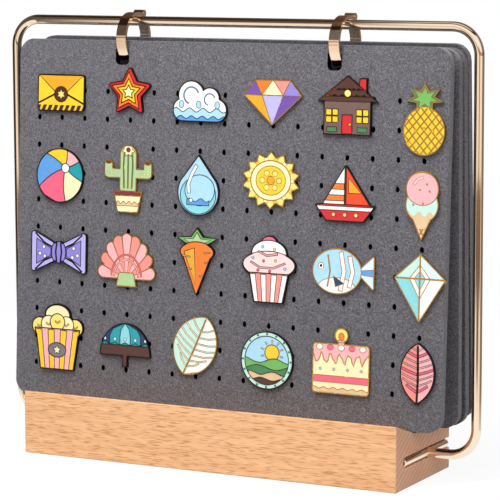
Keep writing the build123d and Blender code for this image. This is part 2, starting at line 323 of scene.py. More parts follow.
@dataclass(frozen=True)
class SandedBeech:
    """Steamed beech, sanded: pale tan, with short dark dashes along it and rings on its ends."""

    name: str = "sanded_beech"
    early: str = "#EEBC8D"
    late: str = "#E2AB7B"
    dash: str = "#BC7E4A"
    end_early: str = "#DDA988"
    end_late: str = "#C28D6F"
    ring_mm: float = 3.2
    # The wave texture's own period at a scale of one, in metres.
    wave_period: float = 0.314
    ring_lean: float = math.radians(58)
    # Beech's rays are 0.1 to 0.2 mm wide, too fine to show, so the dashes are drawn wider.
    dash_width_mm: float = 0.26
    dash_length_mm: float = 3.6
    streak_length_mm: float = 70.0
    streak_width_mm: float = 2.6
    pore_depth_mm: float = 0.1
    roughness: float = 0.55
    specular: float = 0.35

    def material(self) -> bpy.types.Material:
        """Build the finish.

        Returns:
            The material.
        """
        material, tree, shader, place = new_surface(self.name)
        long_grain = add_node(
            tree, "ShaderNodeMapping",
            {"Vector": place, "Scale": self.along(self.streak_length_mm, self.streak_width_mm)},
        )
        streak = add_node(
            tree, "ShaderNodeTexNoise",
            {"Vector": long_grain.outputs["Vector"], "Scale": 1.0, "Detail": 3.0},
        )
        wood = set_ramp(
            add_node(tree, "ShaderNodeValToRGB", {"Fac": streak.outputs["Fac"]}),
            ((0.3, self.early), (0.7, self.late)),
        )
        short_grain = add_node(
            tree, "ShaderNodeMapping",
            {"Vector": place, "Scale": self.along(self.dash_length_mm, self.dash_width_mm)},
        )
        dashes = add_node(
            tree, "ShaderNodeTexNoise",
            {
                "Vector": short_grain.outputs["Vector"], "Scale": 0.5, "Detail": 1.0,
                "Roughness": 0.4,
            },
        )
        mark = add_node(
            tree, "ShaderNodeMapRange",
            {
                "Value": dashes.outputs["Fac"], "From Min": 0.54, "From Max": 0.66, "To Min": 0.0,
                "To Max": 0.8,
            },
        )
        side = add_node(
            tree, "ShaderNodeMix",
            {"Factor": mark.outputs["Result"], "A": wood.outputs["Color"], "B": linear(self.dash)},
            data_type="RGBA",
        )
        bend = add_node(
            tree, "ShaderNodeMapping",
            {"Vector": place, "Rotation": (self.ring_lean, 0, 0), "Scale": (0.05, 1, 1)},
        )
        rings = add_node(
            tree, "ShaderNodeTexWave",
            {
                "Vector": bend.outputs["Vector"], "Scale": self.wave_period / (self.ring_mm * MM),
                "Distortion": 2.2, "Detail": 2.0, "Detail Scale": 0.4, "Detail Roughness": 0.5,
            },
            wave_type="BANDS", bands_direction="Y", wave_profile="SAW",
        )
        end = set_ramp(
            add_node(tree, "ShaderNodeValToRGB", {"Fac": rings.outputs["Fac"]}),
            ((0.0, self.end_early), (0.5, self.end_early), (1.0, self.end_late)),
        )
        facing = add_node(tree, "ShaderNodeNewGeometry").outputs["Normal"]
        across = add_node(tree, "ShaderNodeSeparateXYZ", {"Vector": facing})
        sideways = add_node(tree, "ShaderNodeMath", {0: across.outputs["X"]}, operation="ABSOLUTE")
        cut_end = add_node(
            tree, "ShaderNodeMapRange",
            {"Value": sideways.outputs["Value"], "From Min": 0.5, "From Max": 0.85},
        )
        beech = add_node(
            tree, "ShaderNodeMix",
            {
                "Factor": cut_end.outputs["Result"], "A": side.outputs["Result"],
                "B": end.outputs["Color"],
            },
            data_type="RGBA",
        )
        tree.links.new(beech.outputs["Result"], shader.inputs["Base Color"])
        pores = add_node(
            tree, "ShaderNodeBump",
            {
                "Height": beech.outputs["Result"], "Strength": 0.15,
                "Distance": self.pore_depth_mm * MM,
            },
        )
        tree.links.new(pores.outputs["Normal"], shader.inputs["Normal"])
        shader.inputs["Roughness"].default_value = self.roughness
        shader.inputs["Specular IOR Level"].default_value = self.specular
        return material

    @staticmethod
    def along(length_mm: float, width_mm: float) -> tuple[float, float, float]:
        """Scale of a pattern drawn out along the grain, which runs along the block."""
        return 1 / (length_mm * MM), 1 / (width_mm * MM), 1 / (width_mm * MM)


@dataclass(frozen=True)
class FiredEnamel:
    """Hard enamel, ground flush and polished: each cell's own colour under a clear wet gloss."""

    name: str = "hard_enamel"
    attribute: str = "cell_colour"
    pooling_mm: float = 2.6
    dome_mm: float = 0.2
    roughness: float = 0.22
    ior: float = 1.52
    coat: float = 0.3

    def material(self) -> bpy.types.Material:
        """Build the finish.

        Returns:
            The material.
        """
        material, tree, shader, place = new_surface(self.name)
        cell = add_node(tree, "ShaderNodeAttribute", attribute_name=self.attribute)
        pooling = add_node(
            tree, "ShaderNodeTexNoise",
            {"Vector": place, "Scale": 1 / (self.pooling_mm * MM), "Detail": 2.0},
        )
        value = add_node(
            tree, "ShaderNodeMapRange",
            {"Value": pooling.outputs["Fac"], "To Min": 0.9, "To Max": 1.08},
        )
        pooled = add_node(
            tree, "ShaderNodeHueSaturation",
            {"Value": value.outputs["Result"], "Color": cell.outputs["Color"]},
        )
        tree.links.new(pooled.outputs["Color"], shader.inputs["Base Color"])
        dome = add_node(
            tree, "ShaderNodeBump",
            {"Height": pooling.outputs["Fac"], "Strength": 0.12, "Distance": self.dome_mm * MM},
        )
        tree.links.new(dome.outputs["Normal"], shader.inputs["Normal"])
        shader.inputs["Roughness"].default_value = self.roughness
        shader.inputs["IOR"].default_value = self.ior
        shader.inputs["Coat Weight"].default_value = self.coat
        return material


class PinMetal(Enum):
    """The two metals that pins are struck in."""

    GOLD = PlatedSteel("light_gold_pin_plate", "#D9AE62", 0.24, 5.0)
    NICKEL = PlatedSteel("black_nickel_pin_plate", "#3A302C", 0.3, 5.0)


WIRE_PLATE = PlatedSteel("light_gold_plated_wire", "#F8E4CD", 0.045)
RING_PLATE = PlatedSteel("light_gold_plated_ring", "#F6DCC2", 0.06, 9.0)
CLUTCH_BRASS = PlatedSteel("stamped_brass", "#D2AA5C", 0.28, 4.0)


# ------------------------------------------------------------------ where a board stands


@dataclass(frozen=True)
class BoardPlace:
    """A board's own axes: across, up its front face, and out of that face."""

    corner: Vector
    up: Vector
    out: Vector
    width: float
    height: float
    thickness: float

    @classmethod
    def of_node(cls, node: str) -> "BoardPlace":
        """Measure a board from its CAD node.

        Args:
            node: The board's node.

        Returns:
            Its axes from the middle of the front face's top edge, and its size.
        """
        mesh = frame["nodes"][node].data
        facing = Vector((0, 0, 0))
        for face in mesh.polygons:
            if face.normal.y < -FACING:
                facing += face.normal * face.area
        facing.x = 0
        out = facing.normalized()
        up = Vector((0, out.z, -out.y))
        across = [v.co.x for v in mesh.vertices]
        rise = [v.co.dot(up) for v in mesh.vertices]
        depth = [v.co.dot(out) for v in mesh.vertices]
        middle = Vector(((min(across) + max(across)) / 2, 0, 0))
        corner = middle + up * max(rise) + out * max(depth)
        width, height, thickness = (max(side) - min(side) for side in (across, rise, depth))
        return cls(corner, up, out, width, height, thickness)

    def matrix(self) -> Matrix:
        """Place the board's axes in the frame.

        Returns:
            The transform from board axes (across, up, out) to the frame.
        """
        rows = (Vector((1, 0, 0)), self.up, self.out)
        turn = Matrix(rows).transposed().to_4x4()
        return Matrix.Translation(self.corner) @ turn


def keep(
    mesh: bpy.types.Mesh, name: str, body: str, slot: str, *finishes: bpy.types.Material
) -> bpy.types.Object:
    """Make a mesh a piece of the stand.

    Args:
        mesh: The mesh, in the frame.
        name: The piece's name.
        body: The CAD body that it rides on.
        slot: The record's material slot; not used.
        finishes: Its materials, in order, where the mesh has none.

    Returns:
        The piece.
    """
    piece = bpy.data.objects.new(name, mesh)
    bpy.context.scene.collection.objects.link(piece)
    for finish in finishes:
        mesh.materials.append(finish)
    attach(piece, body)
    return piece


# ------------------------------------------------------------------ felt boards


@dataclass(frozen=True)
class PegGrid:
    """The grid of peg holes, in millimetres from the middle of a board's top edge."""

    columns: int = 17
    rows: int = 11
    across_mm: float = 15.0
    down_mm: float = 15.7
    top_mm: float = 28.9


@dataclass
class FeltBoards:
    """The stack of perforated felt boards, die-cut with soft edges."""

    pegs: PegGrid = PegGrid()
    hole_width: float = 2.1 * MM
    hole_height: float = 3.0 * MM
    corner_radius: float = 9.0 * MM
    slot_spacing: float = 132.0 * MM
    slot_width: float = 8.6 * MM
    slot_height: float = 9.3 * MM
    slot_margin: float = 4.3 * MM
    slot_top_radius: float = 0.7 * MM
    slot_foot_radius: float = 2.6 * MM
    soft_edge: float = 0.4 * MM
    # The soft edge is made in two rings: each one's width, and how far it is let down, as shares.
    soft_rings: tuple[tuple[float, float], ...] = ((0.35, 0.7), (0.65, 0.3))
    # Where the near-black wall finish, laser burn with painted shade, starts: this share of the
    # soft edge below each face.
    sear_and_shade_from: float = 0.3
    felt: PressedFelt = field(default_factory=PressedFelt)
    # Near-black finish for the hole and slot walls: laser burn with painted shade.
    seared: SearedFeltWithPaintedShade = field(default_factory=SearedFeltWithPaintedShade)
    inputs: tuple[tuple[str, str], ...] = (
        ("Width", "NodeSocketFloat"),
        ("Height", "NodeSocketFloat"),
        ("Thickness", "NodeSocketFloat"),
        ("Corner Radius", "NodeSocketFloat"),
        ("Columns", "NodeSocketInt"),
        ("Rows", "NodeSocketInt"),
        ("Pitch Across", "NodeSocketFloat"),
        ("Pitch Down", "NodeSocketFloat"),
        ("Grid Middle", "NodeSocketFloat"),
        ("Hole Width", "NodeSocketFloat"),
        ("Hole Height", "NodeSocketFloat"),
        ("Slot Spacing", "NodeSocketFloat"),
        ("Slot Width", "NodeSocketFloat"),
        ("Slot Height", "NodeSocketFloat"),
        ("Slot Middle", "NodeSocketFloat"),
        ("Slot Top Radius", "NodeSocketFloat"),
        ("Slot Foot Radius", "NodeSocketFloat"),
        ("Felt", "NodeSocketMaterial"),
    )

    def tree(self) -> bpy.types.NodeTree:
        """Build the tree that cuts a board: outline, peg holes and slots, filled and thickened.

        Returns:
            The tree.
        """
        tree = bpy.data.node_groups.new("perforated_felt_board", "GeometryNodeTree")
        tree.interface.new_socket("Board", in_out="OUTPUT", socket_type="NodeSocketGeometry")
        for name, kind in self.inputs:
            tree.interface.new_socket(name, in_out="INPUT", socket_type=kind)
        given = add_node(tree, "NodeGroupInput").outputs
        half = add_node(tree, "ShaderNodeMath", {0: given["Height"], 1: -0.5}, operation="MULTIPLY")
        outline = add_node(
            tree, "GeometryNodeCurvePrimitiveQuadrilateral",
            {"Width": given["Width"], "Height": given["Height"]},
        )
        rounded = add_node(
            tree, "GeometryNodeFilletCurve",
            {"Curve": outline.outputs["Curve"], "Count": 12, "Radius": given["Corner Radius"]},
            mode="POLY",
        )
        drop = add_node(tree, "ShaderNodeCombineXYZ", {"Y": half.outputs["Value"]})
        outer = add_node(
            tree, "GeometryNodeTransform",
            {"Geometry": rounded.outputs["Curve"], "Translation": drop.outputs["Vector"]},
        )
        grid = self.grid(tree, given)
        slots = self.slots(tree, given)
        joined = add_node(
            tree, "GeometryNodeJoinGeometry", {"Geometry": [outer.outputs["Geometry"], grid, slots]}
        )
        sheet = add_node(
            tree, "GeometryNodeFillCurve", {"Curve": joined.outputs["Geometry"]}, mode="TRIANGLES"
        )
        inward = add_node(
            tree, "ShaderNodeMath", {0: given["Thickness"], 1: -1.0}, operation="MULTIPLY"
        )
        depth = add_node(tree, "ShaderNodeCombineXYZ", {"Z": inward.outputs["Value"]})
        walls = add_node(
            tree, "GeometryNodeExtrudeMesh",
            {
                "Mesh": sheet.outputs["Mesh"], "Offset": depth.outputs["Vector"],
                "Offset Scale": 1.0, "Individual": False,
            },
        )
        closed = add_node(
            tree, "GeometryNodeJoinGeometry",
            {"Geometry": [walls.outputs["Mesh"], sheet.outputs["Mesh"]]},
        )
        welded = add_node(
            tree, "GeometryNodeMergeByDistance",
            {"Geometry": closed.outputs["Geometry"], "Distance": 0.01 * MM},
        )
        real = add_node(
            tree, "GeometryNodeRealizeInstances", {"Geometry": welded.outputs["Geometry"]}
        )
        dressed = add_node(
            tree, "GeometryNodeSetMaterial",
            {"Geometry": real.outputs["Geometry"], "Material": given["Felt"]},
        )
        add_node(tree, "NodeGroupOutput", {"Board": dressed.outputs["Geometry"]})
        return tree

    def grid(self, tree: bpy.types.NodeTree, given: bpy.types.NodeOutputs) -> bpy.types.NodeSocket:
        """Repeat the oblong peg hole on the grid.

        Args:
            tree: The board's tree.
            given: The tree's inputs.

        Returns:
            The holes' curves.
        """
        hole = add_node(
            tree, "GeometryNodeCurvePrimitiveQuadrilateral",
            {"Width": given["Hole Width"], "Height": given["Hole Height"]},
        )
        end = add_node(
            tree, "ShaderNodeMath", {0: given["Hole Width"], 1: 0.499}, operation="MULTIPLY"
        )
        oblong = add_node(
            tree, "GeometryNodeFilletCurve",
            {"Curve": hole.outputs["Curve"], "Count": 4, "Radius": end.outputs["Value"]},
            mode="POLY",
        )
        gaps_across = add_node(
            tree, "ShaderNodeMath", {0: given["Columns"], 1: -1.0}, operation="ADD"
        )
        gaps_down = add_node(tree, "ShaderNodeMath", {0: given["Rows"], 1: -1.0}, operation="ADD")
        span = add_node(
            tree, "ShaderNodeMath", {0: gaps_across.outputs["Value"], 1: given["Pitch Across"]},
            operation="MULTIPLY",
        )
        fall = add_node(
            tree, "ShaderNodeMath", {0: gaps_down.outputs["Value"], 1: given["Pitch Down"]},
            operation="MULTIPLY",
        )
        points = add_node(
            tree, "GeometryNodeMeshGrid",
            {
                "Size X": span.outputs["Value"], "Size Y": fall.outputs["Value"],
                "Vertices X": given["Columns"], "Vertices Y": given["Rows"],
            },
        )
        holes = add_node(
            tree, "GeometryNodeInstanceOnPoints",
            {"Points": points.outputs["Mesh"], "Instance": oblong.outputs["Curve"]},
        )
        real = add_node(
            tree, "GeometryNodeRealizeInstances", {"Geometry": holes.outputs["Instances"]}
        )
        middle = add_node(tree, "ShaderNodeCombineXYZ", {"Y": given["Grid Middle"]})
        placed = add_node(
            tree, "GeometryNodeTransform",
            {"Geometry": real.outputs["Geometry"], "Translation": middle.outputs["Vector"]},
        )
        return placed.outputs["Geometry"]

    def slots(self, tree: bpy.types.NodeTree, given: bpy.types.NodeOutputs) -> bpy.types.NodeSocket:
        """Repeat the ring slot: a flat top for the ring to bear on, and a round foot.

        Args:
            tree: The board's tree.
            given: The tree's inputs.

        Returns:
            The slots' curves.
        """
        slot = add_node(
            tree, "GeometryNodeCurvePrimitiveQuadrilateral",
            {"Width": given["Slot Width"], "Height": given["Slot Height"]},
        )
        place = add_node(tree, "GeometryNodeInputPosition")
        height = add_node(tree, "ShaderNodeSeparateXYZ", {"Vector": place.outputs["Position"]})
        top = add_node(
            tree, "ShaderNodeMath", {0: height.outputs["Y"], 1: 0.0}, operation="GREATER_THAN"
        )
        radius = add_node(
            tree, "ShaderNodeMix",
            {
                "Factor": top.outputs["Value"], "A": given["Slot Foot Radius"],
                "B": given["Slot Top Radius"],
            },
        )
        shaped = add_node(
            tree, "GeometryNodeFilletCurve",
            {"Curve": slot.outputs["Curve"], "Count": 8, "Radius": radius.outputs["Result"]},
            mode="POLY",
        )
        points = add_node(
            tree, "GeometryNodeMeshGrid",
            {"Size X": given["Slot Spacing"], "Size Y": 0.0, "Vertices X": 2, "Vertices Y": 2},
        )
        pair = add_node(
            tree, "GeometryNodeMergeByDistance",
            {"Geometry": points.outputs["Mesh"], "Distance": 0.1 * MM},
        )
        both = add_node(
            tree, "GeometryNodeInstanceOnPoints",
            {"Points": pair.outputs["Geometry"], "Instance": shaped.outputs["Curve"]},
        )
        real = add_node(
            tree, "GeometryNodeRealizeInstances", {"Geometry": both.outputs["Instances"]}
        )
        middle = add_node(tree, "ShaderNodeCombineXYZ", {"Y": given["Slot Middle"]})
        placed = add_node(
            tree, "GeometryNodeTransform",
            {"Geometry": real.outputs["Geometry"], "Translation": middle.outputs["Vector"]},
        )
        return placed.outputs["Geometry"]

    def cut(
        self, tree: bpy.types.NodeTree, place: BoardPlace, felt: bpy.types.Material
    ) -> bpy.types.Mesh:
        """Cut one board in its own axes.

        Args:
            tree: The board's tree.
            place: The board's place and size.
            felt: Its material.

        Returns:
            The board's mesh, in the board's axes.
        """
        fall = self.pegs.down_mm * MM * (self.pegs.rows - 1)
        values = {
            "Width": place.width,
            "Height": place.height,
            "Thickness": place.thickness,
            "Corner Radius": self.corner_radius,
            "Columns": self.pegs.columns,
            "Rows": self.pegs.rows,
            "Pitch Across": self.pegs.across_mm * MM,
            "Pitch Down": self.pegs.down_mm * MM,
            "Grid Middle": -self.pegs.top_mm * MM - fall / 2,
            "Hole Width": self.hole_width,
            "Hole Height": self.hole_height,
            "Slot Spacing": self.slot_spacing,
            "Slot Width": self.slot_width,
            "Slot Height": self.slot_height,
            "Slot Middle": -self.slot_margin - self.slot_height / 2,
            "Slot Top Radius": self.slot_top_radius,
            "Slot Foot Radius": self.slot_foot_radius,
            "Felt": felt,
        }
        blank = bpy.data.objects.new("board_blank", bpy.data.meshes.new("board_blank"))
        bpy.context.scene.collection.objects.link(blank)
        cutter = blank.modifiers.new("cut", "NODES")
        cutter.node_group = tree
        sockets = {
            item.name: item.identifier
            for item in tree.interface.items_tree
            if item.in_out == "INPUT"
        }
        for name, value in values.items():
            cutter[sockets[name]] = value
        bpy.context.view_layer.update()
        evaluated = blank.evaluated_get(bpy.context.evaluated_depsgraph_get())
        mesh = bpy.data.meshes.new_from_object(evaluated)
        bpy.data.objects.remove(blank)
        return mesh

    def soften(self, mesh: bpy.types.Mesh) -> None:
        """Round every cut edge: inset each face of the board twice, and let the outer rings down.

        Args:
            mesh: The board in its own axes.
        """
        shape = bmesh.new()
        shape.from_mesh(mesh)
        shape.normal_update()
        for side in (1, -1):
            sheet = [face for face in shape.faces if face.normal.z * side > FACING]
            fallen: set[bmesh.types.BMVert] = set()
            for share, let_down in self.soft_rings:
                before = {vertex for face in sheet for vertex in face.verts}
                bmesh.ops.inset_region(
                    shape, faces=sheet, thickness=share * self.soft_edge, use_even_offset=True,
                    use_boundary=True,
                )
                fallen |= before - {vertex for face in sheet for vertex in face.verts}
                for vertex in fallen:
                    vertex.co.z -= side * let_down * self.soft_edge
        shape.to_mesh(mesh)
        shape.free()

    def sear(self, mesh: bpy.types.Mesh, place: BoardPlace) -> None:
        """Give the walls of the holes and slots the near-black wall finish: a laser-burned edge
        with painted shade.

        Args:
            mesh: The board in its own axes, with felt in its first slot, and in its second the
                near-black wall finish, partly a real laser burn and partly painted shade.
            place: The board's place and size.
        """
        reach = place.width / 2 - self.corner_radius / 2
        margin = self.slot_margin / 2
        skin = self.sear_and_shade_from * self.soft_edge
        for face in mesh.polygons:
            across, up, out = face.center
            inside = abs(across) < reach and margin < -up < place.height - margin
            below = skin < -out < place.thickness - skin
            # Walls of holes and slots take the near-black finish, which paints shade into them.
            face.material_index = int(inside and below)

    def build(self) -> None:
        """Cut every board and put it in place of its CAD node."""
        felt = self.felt.material()
        seared = self.seared.material()
        tree = self.tree()
        for body in sorted(frame["bodies"]):
            if not body.startswith("page_"):
                continue
            node = body.replace("page", "board")
            place = BoardPlace.of_node(node)
            mesh = self.cut(tree, place, felt)
            mesh.materials.clear()
            mesh.materials.append(felt)
            mesh.materials.append(seared)
            self.soften(mesh)
            self.sear(mesh, place)
            mesh.transform(place.matrix())
            piece = keep(mesh, f"felt_{node}", body, "felt")
            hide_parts(node)
            log.info("%s: %d faces", piece.name, len(mesh.polygons))


# ------------------------------------------------------------------ drawing on a pin


class Glaze(Enum):
    """Enamel colours."""

    WHITE = "#F4F3EE"
    CREAM = "#F6E7B6"
    STRAW = "#F3DC7A"
    YELLOW = "#F2C62F"
    AMBER = "#E2A12A"
    ORANGE = "#E9792B"
    VERMILION = "#E2481F"
    RED = "#C6232B"
    MAROON = "#7E2430"
    BROWN = "#4C2C24"
    UMBER = "#6C5650"
    TAN = "#DDBD95"
    BLUSH = "#F7D3CF"
    PINK = "#F2AEB2"
    CORAL = "#EE8E86"
    ROSE = "#E8627F"
    LAVENDER = "#B4AEE6"
    VIOLET = "#8C82CF"
    PURPLE = "#6A4E9F"
    NAVY = "#22365F"
    BLUE = "#5C97D6"
    SKY = "#A6D3EE"
    ICE = "#D3E8F2"
    AQUA = "#86D0D6"
    TEAL = "#1C96A0"
    MINT = "#BFE6D8"
    GREEN = "#6DAE58"
    SAGE = "#A9C690"
    FOREST = "#3F7F54"
    GREY = "#78737A"
    BLACK = "#1B191B"


@dataclass(frozen=True)
class Cell:
    """One enamel cell, or bare metal without a glaze: its outline, and the width of its line."""

    outline: Outline
    glaze: Glaze | None
    line: float = 0.45


def disc(
    x: float, y: float, rx: float, ry: float | None = None, start: float = 0, stop: float = 360
) -> Outline:
    """Outline of an ellipse, or of a slice of it.

    Args:
        x: Middle across.
        y: Middle up.
        rx: Half its width.
        ry: Half its height, rx where left out.
        start: First angle in degrees.
        stop: Last angle; a slice closes through the middle.

    Returns:
        The outline.
    """
    ry = rx if ry is None else ry
    whole = stop - start >= 360
    count = max(6, round((stop - start) / 9))
    steps = range(count if whole else count + 1)
    turned = [math.radians(start + (stop - start) * k / count) for k in steps]
    points = [(x + rx * math.cos(a), y + ry * math.sin(a)) for a in turned]
    return points if whole else [*points, (x, y)]


def slab(x: float, y: float, w: float, h: float) -> Outline:
    """Outline of a rectangle about its middle."""
    return [(x + w * i / 2, y + h * j / 2) for i, j in ((-1, -1), (1, -1), (1, 1), (-1, 1))]


def rays(x: float, y: float, w: float, h: float, count: int, depth: float) -> Outline:
    """Outline of a star.

    Args:
        x: Middle across.
        y: Middle up.
        w: Width of the circle round its points.
        h: Height of that circle.
        count: Number of points.
        depth: How far out its hollows are, as a share.

    Returns:
        The outline.
    """
    reach = [(1.0 if k % 2 == 0 else depth) for k in range(2 * count)]
    turn = [math.pi / 2 + k * math.pi / count for k in range(2 * count)]
    return [(x + r * w / 2 * math.cos(a), y + r * h / 2 * math.sin(a)) for r, a in zip(reach, turn)]


def ribbon(line: Outline, width: float) -> Outline:
    """Outline of a line drawn with a width.

    Args:
        line: The line's points.
        width: Its width.

    Returns:
        The outline.
    """
    left, right = [], []
    for k, (x, y) in enumerate(line):
        before, after = line[max(k - 1, 0)], line[min(k + 1, len(line) - 1)]
        run = Vector((after[0] - before[0], after[1] - before[1])).normalized()
        left.append((x - run.y * width / 2, y + run.x * width / 2))
        right.append((x + run.y * width / 2, y - run.x * width / 2))
    return left + right[::-1]


def wave(y: float, half: float, lift: float, crests: int, foot: float) -> Outline:
    """Outline of everything under a wavy line.

    Args:
        y: The line's height.
        half: Half its length.
        lift: Height of a crest.
        crests: Number of crests.
        foot: Where the area ends below.

    Returns:
        The outline.
    """
    count = 12 * crests
    line = [
        (-half + 2 * half * k / count, y + lift * math.sin(2 * math.pi * crests * k / count))
        for k in range(count + 1)
    ]
    return [*line, (half, foot), (-half, foot)]


def trimmed(line: Outline, x: float, y: float, rx: float, ry: float) -> Outline:
    """Outline of a thin straight line, cut off at an ellipse.

    Args:
        line: The line's two ends.
        x: Middle of the ellipse across.
        y: Middle of the ellipse up.
        rx: Half its width.
        ry: Half its height.

    Returns:
        The outline of what lies inside.
    """
    (ax, ay), (bx, by) = line
    count = 60
    steps = [(ax + (bx - ax) * k / count, ay + (by - ay) * k / count) for k in range(count + 1)]
    within = [p for p in steps if ((p[0] - x) / rx) ** 2 + ((p[1] - y) / ry) ** 2 < 1]
    return ribbon([within[0], within[-1]], THREAD) if len(within) > 1 else disc(x, y, 0.1)


def area(outline: Outline) -> float:
    """Area inside an outline, positive where it runs anticlockwise."""
    return sum(a[0] * b[1] - b[0] * a[1] for a, b in zip(outline, outline[1:] + outline[:1])) / 2


def grown(outline: Outline, by: float) -> Outline:
    """Move an outline out, or in where by is negative.

    Args:
        outline: The outline.
        by: How far.

    Returns:
        The moved outline, without the corners that turned over.
    """
    points = outline if area(outline) > 0 else outline[::-1]
    for _ in range(3):
        count = len(points)
        moved = []
        for k, point in enumerate(points):
            before = Vector(point) - Vector(points[k - 1])
            after = Vector(points[(k + 1) % count]) - Vector(point)
            sides = [Vector((d.y, -d.x)).normalized() for d in (before, after)]
            middle = sides[0] + sides[1]
            stretch = max(middle.dot(middle) / 2, 0.5)
            moved.append(Vector(point) + middle * (by / stretch))
        flipped: set[int] = set()
        for k in range(count):
            ahead = (k + 1) % count
            if (moved[ahead] - moved[k]).dot(Vector(points[ahead]) - Vector(points[k])) <= 0:
                flipped.add(k)
        if not flipped or count - len(flipped) < 4:
            break
        points = [p for k, p in enumerate(points) if k not in flipped]
    return [(p.x, p.y) for p in moved]


# ------------------------------------------------------------------ the pins' drawings

# Each drawing is laid over its pin's plate from back to front, in millimetres from the pin's
# middle, and is trimmed to it. WHOLE covers any plate, and THREAD is a thin metal line's width.
WHOLE = slab(0, 0, 90, 90)
THREAD = 0.35


def envelope(w: float, h: float) -> list[Cell]:
    """Sealed envelope with a striped foot.

    Args:
        w: The pin's width.
        h: The pin's height.

    Returns:
        The cells.
    """
    cells = [Cell(WHOLE, Glaze.YELLOW)]
    for k in range(-4, 5):
        x, low, high = k * 3.8, -h / 2, -h * 0.34
        stripe = [(x - 1.6, low), (x + 0.4, low), (x + 1.9, high), (x - 0.1, high)]
        cells.append(Cell(stripe, Glaze.BROWN, 0.3))
    cells += [
        Cell(ribbon([(side * w / 2, -h * 0.3), (side * 1.5, h * 0.02)], 0.5), None)
        for side in (-1, 1)
    ]
    cells.append(Cell([(-w * 0.47, h * 0.47), (0, -h * 0.14), (w * 0.47, h * 0.47)], Glaze.AMBER))
    cells.append(Cell(disc(0, -h * 0.04, 4.4), Glaze.BROWN))
    cells.append(Cell(rays(0, -h * 0.04, 5.6, 5.6, 6, 0.55), Glaze.STRAW, 0.25))
    return cells


def star(w: float, h: float) -> list[Cell]:
    """Stars one inside the other, each a warmer yellow.

    Args:
        w: The pin's width.
        h: The pin's height.

    Returns:
        The cells.
    """
    shades = (Glaze.RED, Glaze.ORANGE, Glaze.YELLOW, Glaze.CREAM)
    cells = [Cell(WHOLE, shades[0])]
    for share, shade in zip((0.74, 0.5, 0.26), shades[1:]):
        cells.append(Cell(rays(-w * 0.02, 0, w * share, h * 1.06 * share, 5, 0.52), shade, 0.55))
    return cells


def cloud(w: float, h: float) -> list[Cell]:
    """Cloud with a shaded foot and two curls.

    Args:
        w: The pin's width.
        h: The pin's height.

    Returns:
        The cells.
    """
    cells = [Cell(WHOLE, Glaze.WHITE), Cell(wave(-h * 0.22, w, 1.1, 8, -h), Glaze.SKY)]
    cells.append(Cell(wave(-h * 0.38, w, 0.8, 10, -h), Glaze.BLUE))
    for x, y, r in ((-w * 0.16, h * 0.1, h * 0.2), (w * 0.18, h * 0.02, h * 0.14)):
        outer, inner = disc(x, y, r, None, 20, 250)[:-1], disc(x, y, r * 0.86, None, 20, 250)[:-1]
        cells.append(Cell(outer + inner[::-1], Glaze.BLUE, 0.2))
    for x in (-w * 0.34, -w * 0.02, w * 0.32):
        cells.append(Cell(disc(x, -h * 0.1, 1.5, 2.0), Glaze.SKY, 0.3))
    return cells


def gem(w: float, h: float) -> list[Cell]:
    """Cut stone, facet by facet.

    Args:
        w: The pin's width.
        h: The pin's height.

    Returns:
        The cells.
    """
    girdle = [(-w / 2, h * 0.16), (-w * 0.18, h * 0.16), (w * 0.18, h * 0.16), (w / 2, h * 0.16)]
    crown = [(-w * 0.3, h * 0.5), (0, h * 0.5), (w * 0.3, h * 0.5)]
    foot = (0, -h / 2)
    facets = (
        ((girdle[0], girdle[1], crown[0]), Glaze.PURPLE),
        ((crown[0], girdle[1], crown[1]), Glaze.ORANGE),
        ((girdle[1], girdle[2], crown[1]), Glaze.CREAM),
        ((crown[1], girdle[2], crown[2]), Glaze.CORAL),
        ((girdle[2], girdle[3], crown[2]), Glaze.VIOLET),
        ((girdle[0], foot, girdle[1]), Glaze.AMBER),
        ((girdle[1], foot, girdle[2]), Glaze.LAVENDER),
        ((girdle[2], foot, girdle[3]), Glaze.PURPLE),
    )
    return [Cell(WHOLE, Glaze.PURPLE)] + [
        Cell(list(points), glaze, 0.5) for points, glaze in facets
    ]


def house(w: float, h: float) -> list[Cell]:
    """House with lit windows and a tiled roof.

    Args:
        w: The pin's width.
        h: The pin's height.

    Returns:
        The cells.
    """
    cells = [Cell(WHOLE, Glaze.UMBER)]
    cells.append(Cell(slab(w * 0.25, h * 0.36, w * 0.13, h * 0.3), Glaze.RED))
    cells.append(Cell([(-w / 2, h * 0.06), (w / 2, h * 0.06), (0, h / 2)], Glaze.BROWN, 0.6))
    for row, half in ((0.16, 0.36), (0.27, 0.24)):
        cells.append(Cell(wave(h * row, w * half, 0.5, 6, h * row - 0.5), Glaze.RED, 0.25))
    cells.append(Cell(disc(0, h * 0.2, 2.0), Glaze.STRAW, 0.35))
    for x in (-w * 0.25, w * 0.25):
        for dx in (-1.9, 1.9):
            cells += [
                Cell(slab(x + dx, y, 3.3, 3.3), Glaze.YELLOW, 0.35) for y in (-h * 0.12, -h * 0.24)
            ]
    cells.append(Cell(slab(0, -h * 0.32, 6.0, h * 0.32), Glaze.RED))
    cells.append(Cell(disc(1.7, -h * 0.32, 0.7), Glaze.YELLOW, 0.2))
    for x in (-w * 0.25, w * 0.25):
        cells.append(Cell(slab(x, -h * 0.41, w * 0.16, h * 0.08), Glaze.FOREST, 0.3))
    return cells


